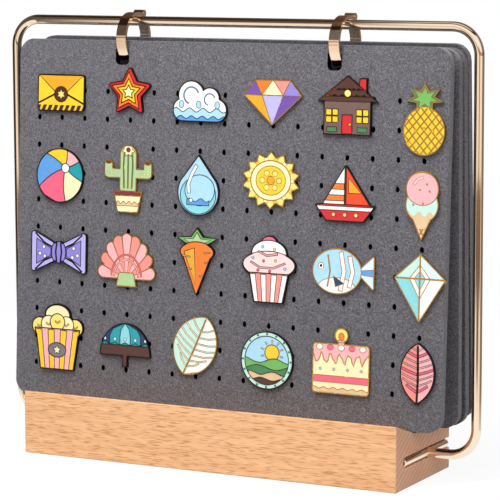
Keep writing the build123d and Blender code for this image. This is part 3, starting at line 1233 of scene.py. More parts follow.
def pineapple(w: float, h: float) -> list[Cell]:
    """Pineapple with a crossed rind and a leafy crown.

    Args:
        w: The pin's width.
        h: The pin's height.

    Returns:
        The cells.
    """
    cells = [
        Cell(WHOLE, Glaze.FOREST),
        Cell(rays(0, h * 0.3, w * 0.6, h * 0.3, 7, 0.5), Glaze.GREEN, 0.35),
    ]
    cells.append(Cell(disc(0, -h * 0.16, w / 2, h * 0.34), Glaze.YELLOW))
    for k in range(-4, 5):
        for lean in (-1, 1):
            line = [(k * 4.4 - lean * 13, -h * 0.16 - 15), (k * 4.4 + lean * 13, -h * 0.16 + 15)]
            cells.append(Cell(trimmed(line, 0, -h * 0.16, w / 2 - 0.4, h * 0.34 - 0.4), None))
    for k in range(-1, 2):
        cells.append(Cell(disc(k * 5.0, -h * 0.13 - abs(k) * 1.0, 0.9), Glaze.AMBER, 0.2))
    return cells


def ball(w: float, h: float) -> list[Cell]:
    """Beach ball in six panels.

    Args:
        w: The pin's width.
        h: The pin's height.

    Returns:
        The cells.
    """
    panels = (Glaze.PINK, Glaze.YELLOW, Glaze.BLUE, Glaze.ROSE, Glaze.CREAM, Glaze.TEAL)
    hub = (w * 0.12, h * 0.14)
    cells = [Cell(WHOLE, Glaze.CREAM)]
    for k, glaze in enumerate(panels):
        turn = 60 * k + 15
        spokes = []
        for start in (turn, turn + 60):
            bend = [
                (t * w, math.radians(start + 26 * t)) for t in (0.0, 0.15, 0.3, 0.45, 0.6, 0.75)
            ]
            spokes.append([(hub[0] + r * math.cos(a), hub[1] + r * math.sin(a)) for r, a in bend])
        cells.append(Cell(spokes[0] + spokes[1][:0:-1], glaze, 0.5))
    return [*cells, Cell(disc(*hub, 2.6), Glaze.WHITE)]


def cactus(w: float, h: float) -> list[Cell]:
    """Potted cactus with ribs and two buds.

    Args:
        w: The pin's width.
        h: The pin's height.

    Returns:
        The cells.
    """
    cells = [Cell(WHOLE, Glaze.SAGE)]
    for x in (-w * 0.08, 0.0, w * 0.08):
        rib = [(x, -h * 0.14), (x * 1.2, h * 0.2), (x, h * 0.44)]
        cells.append(Cell(ribbon(rib, 0.8), Glaze.FOREST, 0.25))
    for side in (-1, 1):
        cells.append(Cell(disc(side * (w / 2 - h * 0.075), h * 0.26, 2.2, 1.7), Glaze.MAROON, 0.35))
        cells += [
            Cell(disc(side * w * x, h * 0.08, 0.55), Glaze.CREAM, 0.15) for x in (0.26, 0.34, 0.42)
        ]
    cells.append(Cell(rays(0, h * 0.43, 8.5, 8.0, 7, 0.62), Glaze.CREAM, 0.35))
    cells.append(Cell(disc(0, h * 0.43, 1.3), Glaze.MAROON, 0.3))
    pot = [(-w * 0.31, -h * 0.18), (w * 0.31, -h * 0.18), (w * 0.2, -h / 2), (-w * 0.2, -h / 2)]
    cells.append(Cell(pot, Glaze.CREAM))
    cells.append(Cell(slab(0, -h * 0.215, w * 0.62, h * 0.07), Glaze.MAROON))
    cells.append(Cell(wave(-h * 0.35, w * 0.23, 0.7, 4, -h * 0.4), Glaze.TAN, 0.35))
    return cells


def drop(w: float, h: float) -> list[Cell]:
    """Water drop with a deep foot and a bright side.

    Args:
        w: The pin's width.
        h: The pin's height.

    Returns:
        The cells.
    """
    low = -h / 2 + w / 2
    cells = [Cell(WHOLE, Glaze.SKY), Cell(disc(0, low - w * 0.06, w * 0.43, w * 0.4), Glaze.AQUA)]
    cells.append(Cell(disc(w * 0.04, low + w * 0.05, w * 0.36, w * 0.33), Glaze.SKY))
    cells.append(Cell(wave(low - w * 0.16, w * 0.27, 0.9, 2, low - w * 0.27), Glaze.BLUE, 0.35))
    steps = ((-0.22, -0.02), (-0.24, 0.18), (-0.15, 0.4), (-0.04, 0.58))
    shine = [(w * x, low + w * y) for x, y in steps]
    cells.append(Cell(ribbon(shine, 1.9), Glaze.WHITE, 0.3))
    return [*cells, Cell(disc(-w * 0.17, low - w * 0.17, 1.1), Glaze.WHITE, 0.3)]


def sun(w: float, h: float) -> list[Cell]:
    """Sun with alternate rays round a ringed disc.

    Args:
        w: The pin's width.
        h: The pin's height.

    Returns:
        The cells.
    """
    cells = [Cell(WHOLE, Glaze.STRAW)]
    for k in range(14):
        turn = 90 + 360 * (k + 0.5) / 14
        ray = disc(0, 0, w * 0.6, h * 0.6, turn - 5, turn + 5)
        cells.append(Cell(ray, Glaze.YELLOW if k % 2 else Glaze.CREAM, 0.3))
    cells.append(Cell(disc(0, 0, w * 0.34, h * 0.34), Glaze.CREAM, 0.55))
    cells.append(Cell(disc(0, 0, w * 0.25, h * 0.25), Glaze.YELLOW, 0.4))
    for k in range(6):
        turn = math.radians(60 * k)
        dot = disc(w * 0.14 * math.cos(turn), h * 0.14 * math.sin(turn), 1.6)
        cells.append(Cell(dot, Glaze.STRAW, 0.3))
    return [*cells, Cell(disc(0, 0, 2.3), Glaze.AMBER, 0.4)]


def boat(w: float, h: float) -> list[Cell]:
    """Sailing boat with striped sails.

    Args:
        w: The pin's width.
        h: The pin's height.

    Returns:
        The cells.
    """
    cells = [Cell(WHOLE, Glaze.WHITE)]
    cells.append(Cell([(0.6, h / 2), (w * 0.42, -h * 0.2), (0.6, -h * 0.2)], Glaze.VERMILION))
    for low, high in ((-0.14, -0.04), (0.06, 0.16)):
        stripe = [(-w * 0.5, h * low), (-0.6, h * low), (-0.6, h * high), (-w * 0.5, h * high)]
        cells.append(Cell(stripe, Glaze.ORANGE, 0.35))
    cells.append(Cell([(2.0, h * 0.0), (w * 0.26, h * 0.0), (2.0, h * 0.26)], Glaze.AMBER, 0.35))
    cells.append(Cell(slab(0, h * 0.1, 1.0, h * 0.76), Glaze.BROWN, 0.3))
    hull = [(-w / 2, -h * 0.2), (-w * 0.3, -h / 2), (w * 0.3, -h / 2), (w / 2, -h * 0.2)]
    cells.append(Cell(hull, Glaze.RED, 0.6))
    cells.append(Cell(slab(0, -h * 0.27, w, h * 0.07), Glaze.WHITE, 0.35))
    cells += [Cell(disc(w * x, -h * 0.38, 1.1), Glaze.STRAW, 0.3) for x in (-0.18, 0.0, 0.18)]
    return cells


def cone(w: float, h: float) -> list[Cell]:
    """Ice cream cone with two scoops.

    Args:
        w: The pin's width.
        h: The pin's height.

    Returns:
        The cells.
    """
    rim = h / 2 - w
    cells = [Cell(WHOLE, Glaze.TAN)]
    for k in range(-3, 5):
        for lean in (-1, 1):
            line = [(k * 3.2 - lean * 6, -h / 2), (k * 3.2 + lean * 6, rim + 2)]
            cells.append(Cell(ribbon(line, THREAD), None))
    cells.append(Cell(disc(0, h / 2 - w * 0.95, w / 2, w / 2), Glaze.MINT))
    cells.append(Cell(wave(rim - w * 0.2, w * 0.5, 1.2, 3, rim - w * 0.62), Glaze.TAN, 0.0))
    cells.append(Cell(disc(0, h / 2 - w / 2, w / 2, w * 0.46), Glaze.PINK))
    shine = [(-w * 0.26, h * 0.3), (-w * 0.14, h * 0.38), (w * 0.02, h * 0.41)]
    cells.append(Cell(ribbon(shine, 1.2), Glaze.BLUSH, 0.25))
    sprinkles = (
        (0.12, 0.3, 0.9), (-0.1, 0.22, 0.3), (0.24, 0.2, 2.2), (0.02, 0.02, 1.2), (-0.24, 0.0, 2.5)
    )
    for x, y, turn in sprinkles:
        end = (w * x + 1.0 * math.cos(turn), h * y + 1.0 * math.sin(turn))
        cells.append(
            Cell(ribbon([(w * x, h * y), end], 0.7), Glaze.GREEN if y > 0.1 else Glaze.ROSE, 0.2)
        )
    return cells


def bow(w: float, h: float) -> list[Cell]:
    """Tied bow with folds in its loops.

    Args:
        w: The pin's width.
        h: The pin's height.

    Returns:
        The cells.
    """
    cells = [Cell(WHOLE, Glaze.LAVENDER)]
    for side in (-1, 1):
        near, far = side * w * 0.14, side * w * 0.4
        inner = [(near, h * 0.08), (far, h * 0.28), (far, -h * 0.28), (near, -h * 0.08)]
        cells.append(Cell(inner, Glaze.VIOLET, 0.45))
        for rise in (-1, 1):
            steps = ((0.1, 0.1), (0.26, 0.2), (0.42, 0.4))
            fold = [(side * w * x, rise * h * y) for x, y in steps]
            cells.append(Cell(ribbon(fold, 0.5), None))
        cells += [
            Cell(disc(side * w * x, h * y, 1.0), Glaze.WHITE, 0.25)
            for x, y in ((0.27, 0.1), (0.34, -0.05), (0.25, -0.1))
        ]
    cells.append(Cell(disc(0, 0, w * 0.13, h * 0.26), Glaze.VIOLET, 0.55))
    cells += [
        Cell(ribbon([(x, -h * 0.2), (x * 1.5, 0), (x, h * 0.2)], 0.5), None) for x in (-1.3, 1.3)
    ]
    return cells


def shell(w: float, h: float) -> list[Cell]:
    """Scallop shell, rib by rib.

    Args:
        w: The pin's width.
        h: The pin's height.

    Returns:
        The cells.
    """
    root = (0.0, -h * 0.36)
    cells = [Cell(WHOLE, Glaze.CORAL)]
    for k in range(9):
        start, stop = 20 * k + 0.5, 20 * k + 19.5
        rib = disc(*root, w * 0.62, h * 1.0, start, stop)
        cells.append(Cell(rib, Glaze.CORAL if k % 2 else Glaze.PINK, 0.5))
    for share, glaze in ((0.62, Glaze.ROSE), (0.5, Glaze.PINK)):
        arc = disc(*root, w * 0.42 * share, h * 0.72 * share, 8, 172)[:-1]
        cells.append(Cell(ribbon(arc, 0.9), glaze, 0.3))
    foot = [(-w * 0.19, -h / 2), (w * 0.19, -h / 2), (w * 0.12, -h * 0.24), (-w * 0.12, -h * 0.24)]
    cells.append(Cell(foot, Glaze.SAGE))
    return cells


def carrot(w: float, h: float) -> list[Cell]:
    """Carrot with its tops.

    Args:
        w: The pin's width.
        h: The pin's height.

    Returns:
        The cells.
    """
    cells = [
        Cell(WHOLE, Glaze.GREEN),
        Cell(rays(0, h * 0.28, w * 0.66, h * 0.3, 5, 0.45), Glaze.SAGE, 0.35),
    ]
    top = disc(0, h * 0.14, w * 0.4, h * 0.15, 0, 180)[:-1]
    cells.append(Cell([*top, (0, -h / 2)], Glaze.ORANGE, 0.5))
    light = [(-w * 0.3, h * 0.14), (-w * 0.06, h * 0.2), (-w * 0.02, -h * 0.34)]
    cells.append(Cell(light, Glaze.AMBER, 0.3))
    nicks = (
        (-0.34, 0.08, 5.0), (0.36, 0.0, -4.5), (-0.24, -0.1, 3.5), (0.2, -0.2, -3.5),
        (0.3, 0.14, -3.5),
    )
    for x, y, run in nicks:
        cells.append(
            Cell(ribbon([(w * x, h * y), (w * x + run, h * y - 0.5)], 0.6), Glaze.CREAM, 0.3)
        )
    return cells


def cupcake(w: float, h: float) -> list[Cell]:
    """Iced cupcake in a pleated case.

    Args:
        w: The pin's width.
        h: The pin's height.

    Returns:
        The cells.
    """
    cells = [Cell(WHOLE, Glaze.BLUSH)]
    cells.append(Cell(disc(0, h * 0.39, w * 0.15, h * 0.11), Glaze.ROSE))
    cells.append(Cell(disc(0, h * 0.24, w * 0.33, h * 0.19), Glaze.WHITE))
    cells.append(Cell(disc(0, h * 0.07, w * 0.48, h * 0.2), Glaze.BLUSH))
    low = [(-w * 0.34, h * 0.1), (-w * 0.16, h * 0.02), (w * 0.08, h * 0.02), (w * 0.3, h * 0.1)]
    high = [(-w * 0.2, h * 0.26), (-w * 0.04, h * 0.2), (w * 0.16, h * 0.23)]
    cells += [Cell(ribbon(swirl, 1.0), Glaze.PINK, 0.3) for swirl in (low, high)]
    dots = (
        (-0.3, 0.16), (-0.1, 0.12), (0.12, 0.13), (0.3, 0.02), (-0.2, -0.02), (0.1, 0.3),
        (-0.12, 0.33), (0.02, -0.03),
    )
    shades = (Glaze.SKY, Glaze.ROSE, Glaze.STRAW)
    cells += [Cell(disc(w * x, h * y, 0.8), shades[k % 3], 0.2) for k, (x, y) in enumerate(dots)]
    case = [(-w * 0.4, -h * 0.06), (w * 0.4, -h * 0.06), (w * 0.28, -h / 2), (-w * 0.28, -h / 2)]
    cells.append(Cell(case, Glaze.CORAL, 0.6))
    for k in (-3, -1, 1, 3):
        left, right = w * (k - 0.5), w * (k + 0.5)
        pleat = [
            (left * 0.1, -h * 0.08), (right * 0.1, -h * 0.08), (right * 0.073, -h / 2),
            (left * 0.073, -h / 2),
        ]
        cells.append(Cell(pleat, Glaze.WHITE, 0.35))
    return cells


def fish(w: float, h: float) -> list[Cell]:
    """Striped fish with its tail to the right.

    Args:
        w: The pin's width.
        h: The pin's height.

    Returns:
        The cells.
    """
    nose = -w * 0.1
    cells = [Cell(WHOLE, Glaze.BLUE)]
    cells += [
        Cell([(w * 0.22, y * 0.1), (w * 0.52, y * 0.2), (w * 0.52, y)], Glaze.ICE, 0.4)
        for y in (h * 0.4, -h * 0.4)
    ]
    cells.append(Cell(disc(nose, 0, w * 0.39, h * 0.48), Glaze.SKY))
    cells.append(Cell(disc(nose, -h * 0.36, w * 0.3, h * 0.22), Glaze.WHITE, 0.35))
    for x, half in ((-0.04, 0.42), (0.1, 0.34)):
        stripe = [(w * x, -h * half), (w * x + 2.0, 0), (w * x, h * half)]
        cells.append(Cell(ribbon(stripe, 2.4), Glaze.WHITE, 0.4))
    gill = [(-w * 0.25, -h * 0.34), (-w * 0.21, 0), (-w * 0.25, h * 0.34)]
    cells.append(Cell(ribbon(gill, 0.5), None))
    fin = [(-w * 0.16, -h * 0.1), (w * 0.02, -h * 0.26), (-w * 0.12, -h * 0.34)]
    cells.append(Cell(fin, Glaze.NAVY, 0.35))
    cells.append(Cell(disc(-w * 0.36, h * 0.1, 1.7), Glaze.WHITE, 0.35))
    return [*cells, Cell(disc(-w * 0.36, h * 0.1, 0.8), Glaze.BLACK, 0.0)]


def kite(w: float, h: float) -> list[Cell]:
    """Kite in four panels on crossed spars.

    Args:
        w: The pin's width.
        h: The pin's height.

    Returns:
        The cells.
    """
    middle = (0, h * 0.14)
    corners = [(0, h / 2), (w / 2, h * 0.14), (0, -h / 2), (-w / 2, h * 0.14)]
    cells = [Cell(WHOLE, Glaze.WHITE)]
    for k, glaze in enumerate((Glaze.ICE, Glaze.WHITE, Glaze.AQUA, Glaze.MINT)):
        cells.append(Cell([middle, corners[k], corners[(k + 1) % 4]], glaze, 0.6))
    outer = [(0, h * 0.34), (w * 0.2, h * 0.14), (0, -h * 0.16), (-w * 0.2, h * 0.14)]
    inner = [(0, h * 0.25), (w * 0.11, h * 0.14), (0, -h * 0.03), (-w * 0.11, h * 0.14)]
    cells += [Cell(outer, Glaze.WHITE, 0.45), Cell(inner, Glaze.AQUA, 0.35)]
    cells += [
        Cell(ribbon(line, 0.45), None)
        for line in ([corners[0], corners[2]], [corners[3], corners[1]])
    ]
    return cells


def popcorn(w: float, h: float) -> list[Cell]:
    """Striped box of popcorn.

    Args:
        w: The pin's width.
        h: The pin's height.

    Returns:
        The cells.
    """
    cells = [
        Cell(WHOLE, Glaze.STRAW), Cell(disc(0, h * 0.33, w * 0.23, h * 0.15), Glaze.CREAM, 0.5)
    ]
    for k in (-2, 2, -1, 1, 0):
        x, y = w * 0.17 * k, h * 0.22 - abs(k) * h * 0.035
        cells.append(Cell(disc(x, y, w * 0.14), Glaze.CREAM if k % 2 else Glaze.STRAW, 0.5))
        crease = [(x - 1.6, y + 0.6), (x, y - 0.6), (x + 1.6, y + 0.8)]
        cells.append(Cell(ribbon(crease, 0.9), Glaze.YELLOW, 0.2))
    box = [(-w * 0.43, h * 0.12), (w * 0.43, h * 0.12), (w * 0.33, -h / 2), (-w * 0.33, -h / 2)]
    cells.append(Cell(box, Glaze.PINK, 0.6))
    for k in (-3, -1, 1, 3):
        left, right = w * (k - 0.5), w * (k + 0.5)
        stripe = [
            (left * 0.12, h * 0.1), (right * 0.12, h * 0.1), (right * 0.09, -h / 2),
            (left * 0.09, -h / 2),
        ]
        cells.append(Cell(stripe, Glaze.YELLOW, 0.4))
    cells.append(Cell(disc(0, -h * 0.2, w * 0.17, h * 0.11), Glaze.GREY, 0.5))
    return [*cells, Cell(rays(0, -h * 0.2, 5.4, 5.4, 5, 0.5), Glaze.CREAM, 0.3)]


def umbrella(w: float, h: float) -> list[Cell]:
    """Open umbrella in five panels.

    Args:
        w: The pin's width.
        h: The pin's height.

    Returns:
        The cells.
    """
    cells = [Cell(WHOLE, Glaze.BROWN)]
    tip = (0.0, h * 0.5)
    edge = [(w * (k / 5 - 0.5), 0.0) for k in range(6)]
    cells.append(Cell(slab(0, h * 0.3, w * 1.1, h * 0.6), Glaze.TEAL))
    for k, glaze in enumerate((Glaze.NAVY, Glaze.TEAL, Glaze.AQUA, Glaze.TEAL, Glaze.NAVY)):
        (x0, _), (x1, _) = edge[k], edge[k + 1]
        left = [(x0, 0.0), (x0 * 1.02, h * 0.2), (x0 * 0.8, h * 0.36), tip]
        right = [(x1 * 0.8, h * 0.36), (x1 * 1.02, h * 0.2), (x1, 0.0)]
        dip = [((x0 + x1) / 2, h * 0.06)]
        cells.append(Cell([*left, *right, *dip], glaze, 0.4))
    for k in range(5):
        cells.append(Cell(disc((edge[k][0] + edge[k + 1][0]) / 2, h * 0.13, 0.9), Glaze.ICE, 0.2))
    return cells


def leaf(w: float, h: float) -> list[Cell]:
    """Leaf with a midrib and side veins.

    Args:
        w: The pin's width.
        h: The pin's height.

    Returns:
        The cells.
    """
    lean = math.radians(-24)

    def turned(line: Outline) -> Outline:
        """Lean a line as the blade leans."""
        return [
            (x * math.cos(lean) - y * math.sin(lean), x * math.sin(lean) + y * math.cos(lean))
            for x, y in line
        ]

    blade = turned([(0, -h / 2), (w * 0.6, -h * 0.2), (w * 0.6, h * 0.3), (0, h / 2)])
    cells = [Cell(WHOLE, Glaze.MINT), Cell(blade, Glaze.WHITE)]
    for k in range(7):
        y = -h * 0.36 + k * h * 0.1
        reach = w * 0.5 * math.sin(math.pi * (0.16 + k * 0.11))
        for side in (-1, 1):
            line = turned([(0, y), (side * reach * 0.6, y + 2.2), (side * reach, y + 5.0)])
            cells.append(Cell(ribbon(line, 0.75), Glaze.WHITE if side < 0 else Glaze.MINT, 0.3))
    return [*cells, Cell(ribbon(turned([(0, -h / 2), (0.4, 0), (0, h * 0.45)]), 0.7), None)]


def badge(w: float, h: float) -> list[Cell]:
    """Round badge with the sun over rolling fields.

    Args:
        w: The pin's width.
        h: The pin's height.

    Returns:
        The cells.
    """
    cells = [Cell(WHOLE, Glaze.MINT), Cell(disc(0, 0, w * 0.42), Glaze.SKY, 0.5)]
    view: list[Cell] = [Cell(disc(w * 0.1, h * 0.14, 4.4), Glaze.YELLOW, 0.45)]
    for k in range(10):
        turn = math.radians(36 * k + 18)
        ray = [(w * 0.1 + r * math.cos(turn), h * 0.14 + r * math.sin(turn)) for r in (5.4, 7.0)]
        view.append(Cell(ribbon(ray, 0.7), Glaze.STRAW, 0.2))
    bands = (
        (0.0, 1.3, 1.4, Glaze.GREEN), (-0.12, -1.2, 1.2, Glaze.FOREST),
        (-0.22, 0.9, 1.6, Glaze.TAN), (-0.32, -0.8, 1.2, Glaze.BROWN),
    )
    for low, lift, crests, glaze in bands:
        half = math.sqrt(max(0.42**2 - low**2, 0.01)) * w
        steps = [half * k / 12 for k in range(-12, 13)]
        top = [(x, h * low + lift * math.sin(crests * math.pi * x / half)) for x in steps]
        turn = math.asin(max(-0.99, low / 0.42))
        turns = [turn - (math.pi + 2 * turn) * k / 18 for k in range(1, 18)]
        base = [(w * 0.42 * math.cos(a), h * 0.42 * math.sin(a)) for a in turns]
        view.append(Cell(top + base, glaze, 0.4))
    cells += view
    for k in range(16):
        turn = math.radians(22.5 * k)
        dot = disc(w * 0.458 * math.cos(turn), h * 0.458 * math.sin(turn), 0.55)
        cells.append(Cell(dot, Glaze.TEAL, 0.15))
    return cells


def cake(w: float, h: float) -> list[Cell]:
    """Layer cake with dripping icing and a candle.

    Args:
        w: The pin's width.
        h: The pin's height.

    Returns:
        The cells.
    """
    cells = [Cell(WHOLE, Glaze.TAN)]
    cells.append(Cell(disc(0, h / 2 - w * 0.12, w * 0.12), Glaze.STRAW))
    cells.append(Cell(disc(0, h / 2 - w * 0.14, 1.7, 2.2), Glaze.ORANGE, 0.3))
    cells.append(Cell(slab(0, h * 0.26, w * 0.12, h * 0.1), Glaze.SKY))
    cells.append(Cell(slab(0, -h * 0.13, w * 1.1, h * 0.78), Glaze.CREAM))
    cells.append(Cell(slab(0, -h * 0.28, w, h * 0.1), Glaze.ROSE, 0.4))
    cells.append(Cell(wave(-h * 0.42, w, 0.5, 12, -h), Glaze.TAN, 0.45))
    drips = [
        (w * (0.5 - k / 40), h * 0.03 + 2.6 * math.sin(k * 0.98) + 0.9 * math.sin(k * 2.1))
        for k in range(41)
    ]
    right = [(w * 0.55, h * 0.28), (w * 0.55, h * 0.03)]
    left = [(-w * 0.55, h * 0.03), (-w * 0.55, h * 0.28)]
    cells.append(Cell([*right, *drips, *left], Glaze.PINK, 0.55))
    for k in range(-2, 3):
        cells.append(
            Cell(disc(k * w * 0.19, h * 0.2, 1.9, 1.6), Glaze.ROSE if k % 2 else Glaze.WHITE, 0.35)
        )
    cells += [
        Cell(disc(w * x, -h * 0.13, 0.8), Glaze.AQUA, 0.2) for x in (-0.36, -0.12, 0.12, 0.36)
    ]
    return cells


def feather(w: float, h: float) -> list[Cell]:
    """Feather with parted vanes on a bare quill.

    Args:
        w: The pin's width.
        h: The pin's height.

    Returns:
        The cells.
    """
    cells = [
        Cell(WHOLE, Glaze.CORAL),
        Cell([(0, -h / 2), (w, -h / 2), (w, h / 2), (0, h / 2)], Glaze.PINK),
    ]
    for k in range(8):
        y = -h * 0.3 + k * h * 0.095
        reach = w * 0.52 * math.sin(math.pi * (0.2 + k * 0.09))
        for side in (-1, 1):
            line = [(side * 0.3, y), (side * reach * 0.55, y + 1.7), (side * reach, y + 3.6)]
            width, glaze = (0.7, Glaze.BLUSH) if k % 3 else (1.3, Glaze.ROSE)
            cells.append(Cell(ribbon(line, width), glaze, 0.3))
    return [*cells, Cell(ribbon([(0, -h / 2), (0.5, -h * 0.1), (0, h * 0.44)], 0.8), None)]


@dataclass(frozen=True)
class Pin:
    """One pin: its drawing, its size and hole row as cut, and the metal that it is struck in."""

    draw: Callable[[float, float], list[Cell]]
    width: float
    height: float
    row: float
    metal: PinMetal


@dataclass
class PinFaces:
    """Enamel faces of the pins on the front board."""

    board: str = "board_1"
    body: str = "page_1"
    pegs: PegGrid = PegGrid()
    first_column: int = 1
    column_step: int = 3
    # Sizes in millimetres, and the least cell in square millimetres.
    plate: float = 1.6
    rim: float = 0.6
    sunk: float = 0.03
    enamel_height: float = 0.1
    metal_height: float = 0.2
    flatness: float = 0.02
    same_point: float = 1e-4
    least_cell: float = 0.15
    attribute: str = "cell_colour"
    rows: tuple[tuple[Pin, ...], ...] = (
        (
            Pin(envelope, 31, 21, 0.1, PinMetal.NICKEL),
            Pin(star, 31, 29, 0.0, PinMetal.NICKEL),
            Pin(cloud, 34, 25, 0.2, PinMetal.NICKEL),
            Pin(gem, 36, 25, 0.2, PinMetal.GOLD),
            Pin(house, 36, 32, 0.2, PinMetal.NICKEL),
            Pin(pineapple, 24, 38, 0.6, PinMetal.GOLD),
        ),
        (
            Pin(ball, 31, 31, 3.1, PinMetal.NICKEL),
            Pin(cactus, 31, 38, 3.1, PinMetal.GOLD),
            Pin(drop, 26, 34, 3.2, PinMetal.NICKEL),
            Pin(sun, 36, 32, 2.9, PinMetal.GOLD),
            Pin(boat, 37, 31, 3.2, PinMetal.NICKEL),
            Pin(cone, 19, 37, 3.5, PinMetal.GOLD),
        ),
        (
            Pin(bow, 37, 26, 5.9, PinMetal.NICKEL),
            Pin(shell, 38, 31, 6.0, PinMetal.GOLD),
            Pin(carrot, 27, 38, 5.9, PinMetal.NICKEL),
            Pin(cupcake, 33, 37, 6.0, PinMetal.NICKEL),
            Pin(fish, 37, 25, 5.9, PinMetal.GOLD),
            Pin(kite, 30, 37, 6.3, PinMetal.GOLD),
        ),
        (
            Pin(popcorn, 35, 38, 9.0, PinMetal.NICKEL),
            Pin(umbrella, 33, 25, 9.1, PinMetal.NICKEL),
            Pin(leaf, 27, 36, 8.9, PinMetal.GOLD),
            Pin(badge, 32, 32, 9.2, PinMetal.NICKEL),
            Pin(cake, 34, 36, 9.0, PinMetal.GOLD),
            Pin(feather, 20, 33, 9.2, PinMetal.NICKEL),
        ),
    )

    def middle(self, place: int, pin: Pin) -> tuple[float, float]:
        """Middle of a pin on the board.

        Args:
            place: Its place in its row, from the left.
            pin: The pin.

        Returns:
            Millimetres across from the board's middle, and up from its top edge.
        """
        column = self.first_column + self.column_step * place
        across = (column - (self.pegs.columns - 1) / 2) * self.pegs.across_mm
        return across, -self.pegs.top_mm - pin.row * self.pegs.down_mm

    def plate_outline(self, node: str, stand: BoardPlace, middle: tuple[float, float]) -> Outline:
        """Read the plate's own outline from its CAD node.

        Args:
            node: The pin's node.
            stand: The board's axes.
            middle: The pin's middle on the board, in millimetres.

        Returns:
            The outline, anticlockwise, in millimetres from the pin's middle.
        """
        mesh = frame["nodes"][node].data
        to_board = stand.matrix().inverted()
        flat = [to_board @ v.co for v in mesh.vertices]
        front = max(p.z for p in flat)
        keys = [(round(p.x / MM - middle[0], 3), round(p.y / MM - middle[1], 3)) for p in flat]
        following: dict[tuple[float, float], list[tuple[float, float]]] = {}
        sides: set[tuple[tuple[float, float], tuple[float, float]]] = set()
        for face in mesh.polygons:
            if all(front - flat[i].z < self.flatness * MM for i in face.vertices):
                ring = [keys[i] for i in face.vertices]
                sides |= {(a, b) for a, b in zip(ring, ring[1:] + ring[:1]) if a != b}
        for a, b in sides:
            if (b, a) not in sides:
                following.setdefault(a, []).append(b)
        loops = []
        while following:
            start = next(iter(following))
            loop = [start]
            while (ways_on := following.get(loop[-1])) is not None:
                point = ways_on.pop()
                if not ways_on:
                    del following[loop[-1]]
                if point == start:
                    break
                loop.append(point)
            loops.append(loop)
        return max(loops, key=lambda loop: abs(area(loop)))

    def paint(
        self, plate: Outline, cells: Sequence[Cell]
    ) -> tuple[Outline, Triangles, list[Glaze | None]]:
        """Lay the cells on the plate, the later over the earlier.

        Args:
            plate: The plate's outline.
            cells: The drawing's cells.

        Returns:
            The points, the triangles, and each triangle's enamel, or None where it is metal.
        """
        layers: list[tuple[Outline, Glaze | None]] = [(plate, None)]
        for cell in cells:
            whole = cell.outline is WHOLE
            outer = cell.outline if whole else grown(cell.outline, cell.line / 2)
            layers.append((outer, None))
            if cell.glaze is not None:
                lined = cell.line and not whole
                inner = grown(cell.outline, -cell.line / 2) if lined else outer
                if area(inner) > self.least_cell:
                    layers.append((inner, cell.glaze))
        layers.append((grown(plate, -self.rim), None))
        points: list[Vector] = []
        faces: list[list[int]] = []
        for outline, _ in layers:
            faces.append(list(range(len(points), len(points) + len(outline))))
            points += [Vector(p) for p in outline]
        plan, _, tiles, _, _, covering = delaunay_2d_cdt(
            points, [], faces, 1, self.same_point, True
        )
        triangles, enamels = [], []
        for corners, inside in zip(tiles, covering):
            if 0 not in inside:
                continue
            within = sorted(set(inside))
            glaze = None
            if within[-1] == len(layers) - 1:
                glaze = layers[within[-2]][1]
            triangles.append(tuple(corners))
            enamels.append(glaze)
        return [(p.x, p.y) for p in plan], triangles, enamels

    def raise_cells(
        self, points: Outline, triangles: Triangles, enamels: list[Glaze | None], place: Matrix
    ) -> bpy.types.Mesh:
        """Give the painted plate its relief, with the metal standing over the enamel.

        Args:
            points: The plan's points in millimetres.
            triangles: Its triangles, anticlockwise.
            enamels: Each triangle's enamel, or None for metal.
            place: From the pin's own axes to the frame.

        Returns:
            The closed mesh, with enamel in its first material slot and metal in its second.
        """
        heights = (
            self.plate - self.sunk, self.plate + self.enamel_height, self.plate + self.metal_height
        )
        back, enamel, metal = range(3)
        index: dict[tuple[int, int], int] = {}
        corners: list[Vector] = []

        def corner(point: int, level: int) -> int:
            """Number a point at a level, and make it when it is first asked for.

            Args:
                point: Its number in the plan.
                level: Back, enamel or metal.

            Returns:
                Its number in the mesh.
            """
            if (point, level) not in index:
                index[point, level] = len(corners)
                x, y = points[point]
                corners.append(place @ (Vector((x, y, heights[level])) * MM))
            return index[point, level]

        faces: list[list[int]] = []
        glazes: list[Glaze | None] = []
        side_level: dict[tuple[int, int], int] = {}
        for (a, b, c), glaze in zip(triangles, enamels):
            level = metal if glaze is None else enamel
            faces.append([corner(a, level), corner(b, level), corner(c, level)])
            glazes.append(glaze)
            faces.append([corner(c, back), corner(b, back), corner(a, back)])
            glazes.append(None)
            side_level |= {(a, b): level, (b, c): level, (c, a): level}
        for (a, b), level in side_level.items():
            other = side_level.get((b, a), back)
            if level > other:
                faces.append(
                    [corner(a, other), corner(b, other), corner(b, level), corner(a, level)]
                )
                glazes.append(None)
        mesh = bpy.data.meshes.new("enamel_face")
        mesh.from_pydata(corners, [], faces)
        mesh.polygons.foreach_set("material_index", [0 if glaze else 1 for glaze in glazes])
        colours = mesh.color_attributes.new(self.attribute, "FLOAT_COLOR", "CORNER")
        shades = {glaze: linear(glaze.value) for glaze in Glaze}
        unglazed = (0.5, 0.5, 0.5, 1.0)
        flat: list[float] = []
        for face, glaze in zip(faces, glazes):
            flat += (shades[glaze] if glaze else unglazed) * len(face)
        colours.data.foreach_set("color", flat)
        mesh.validate()
        return mesh

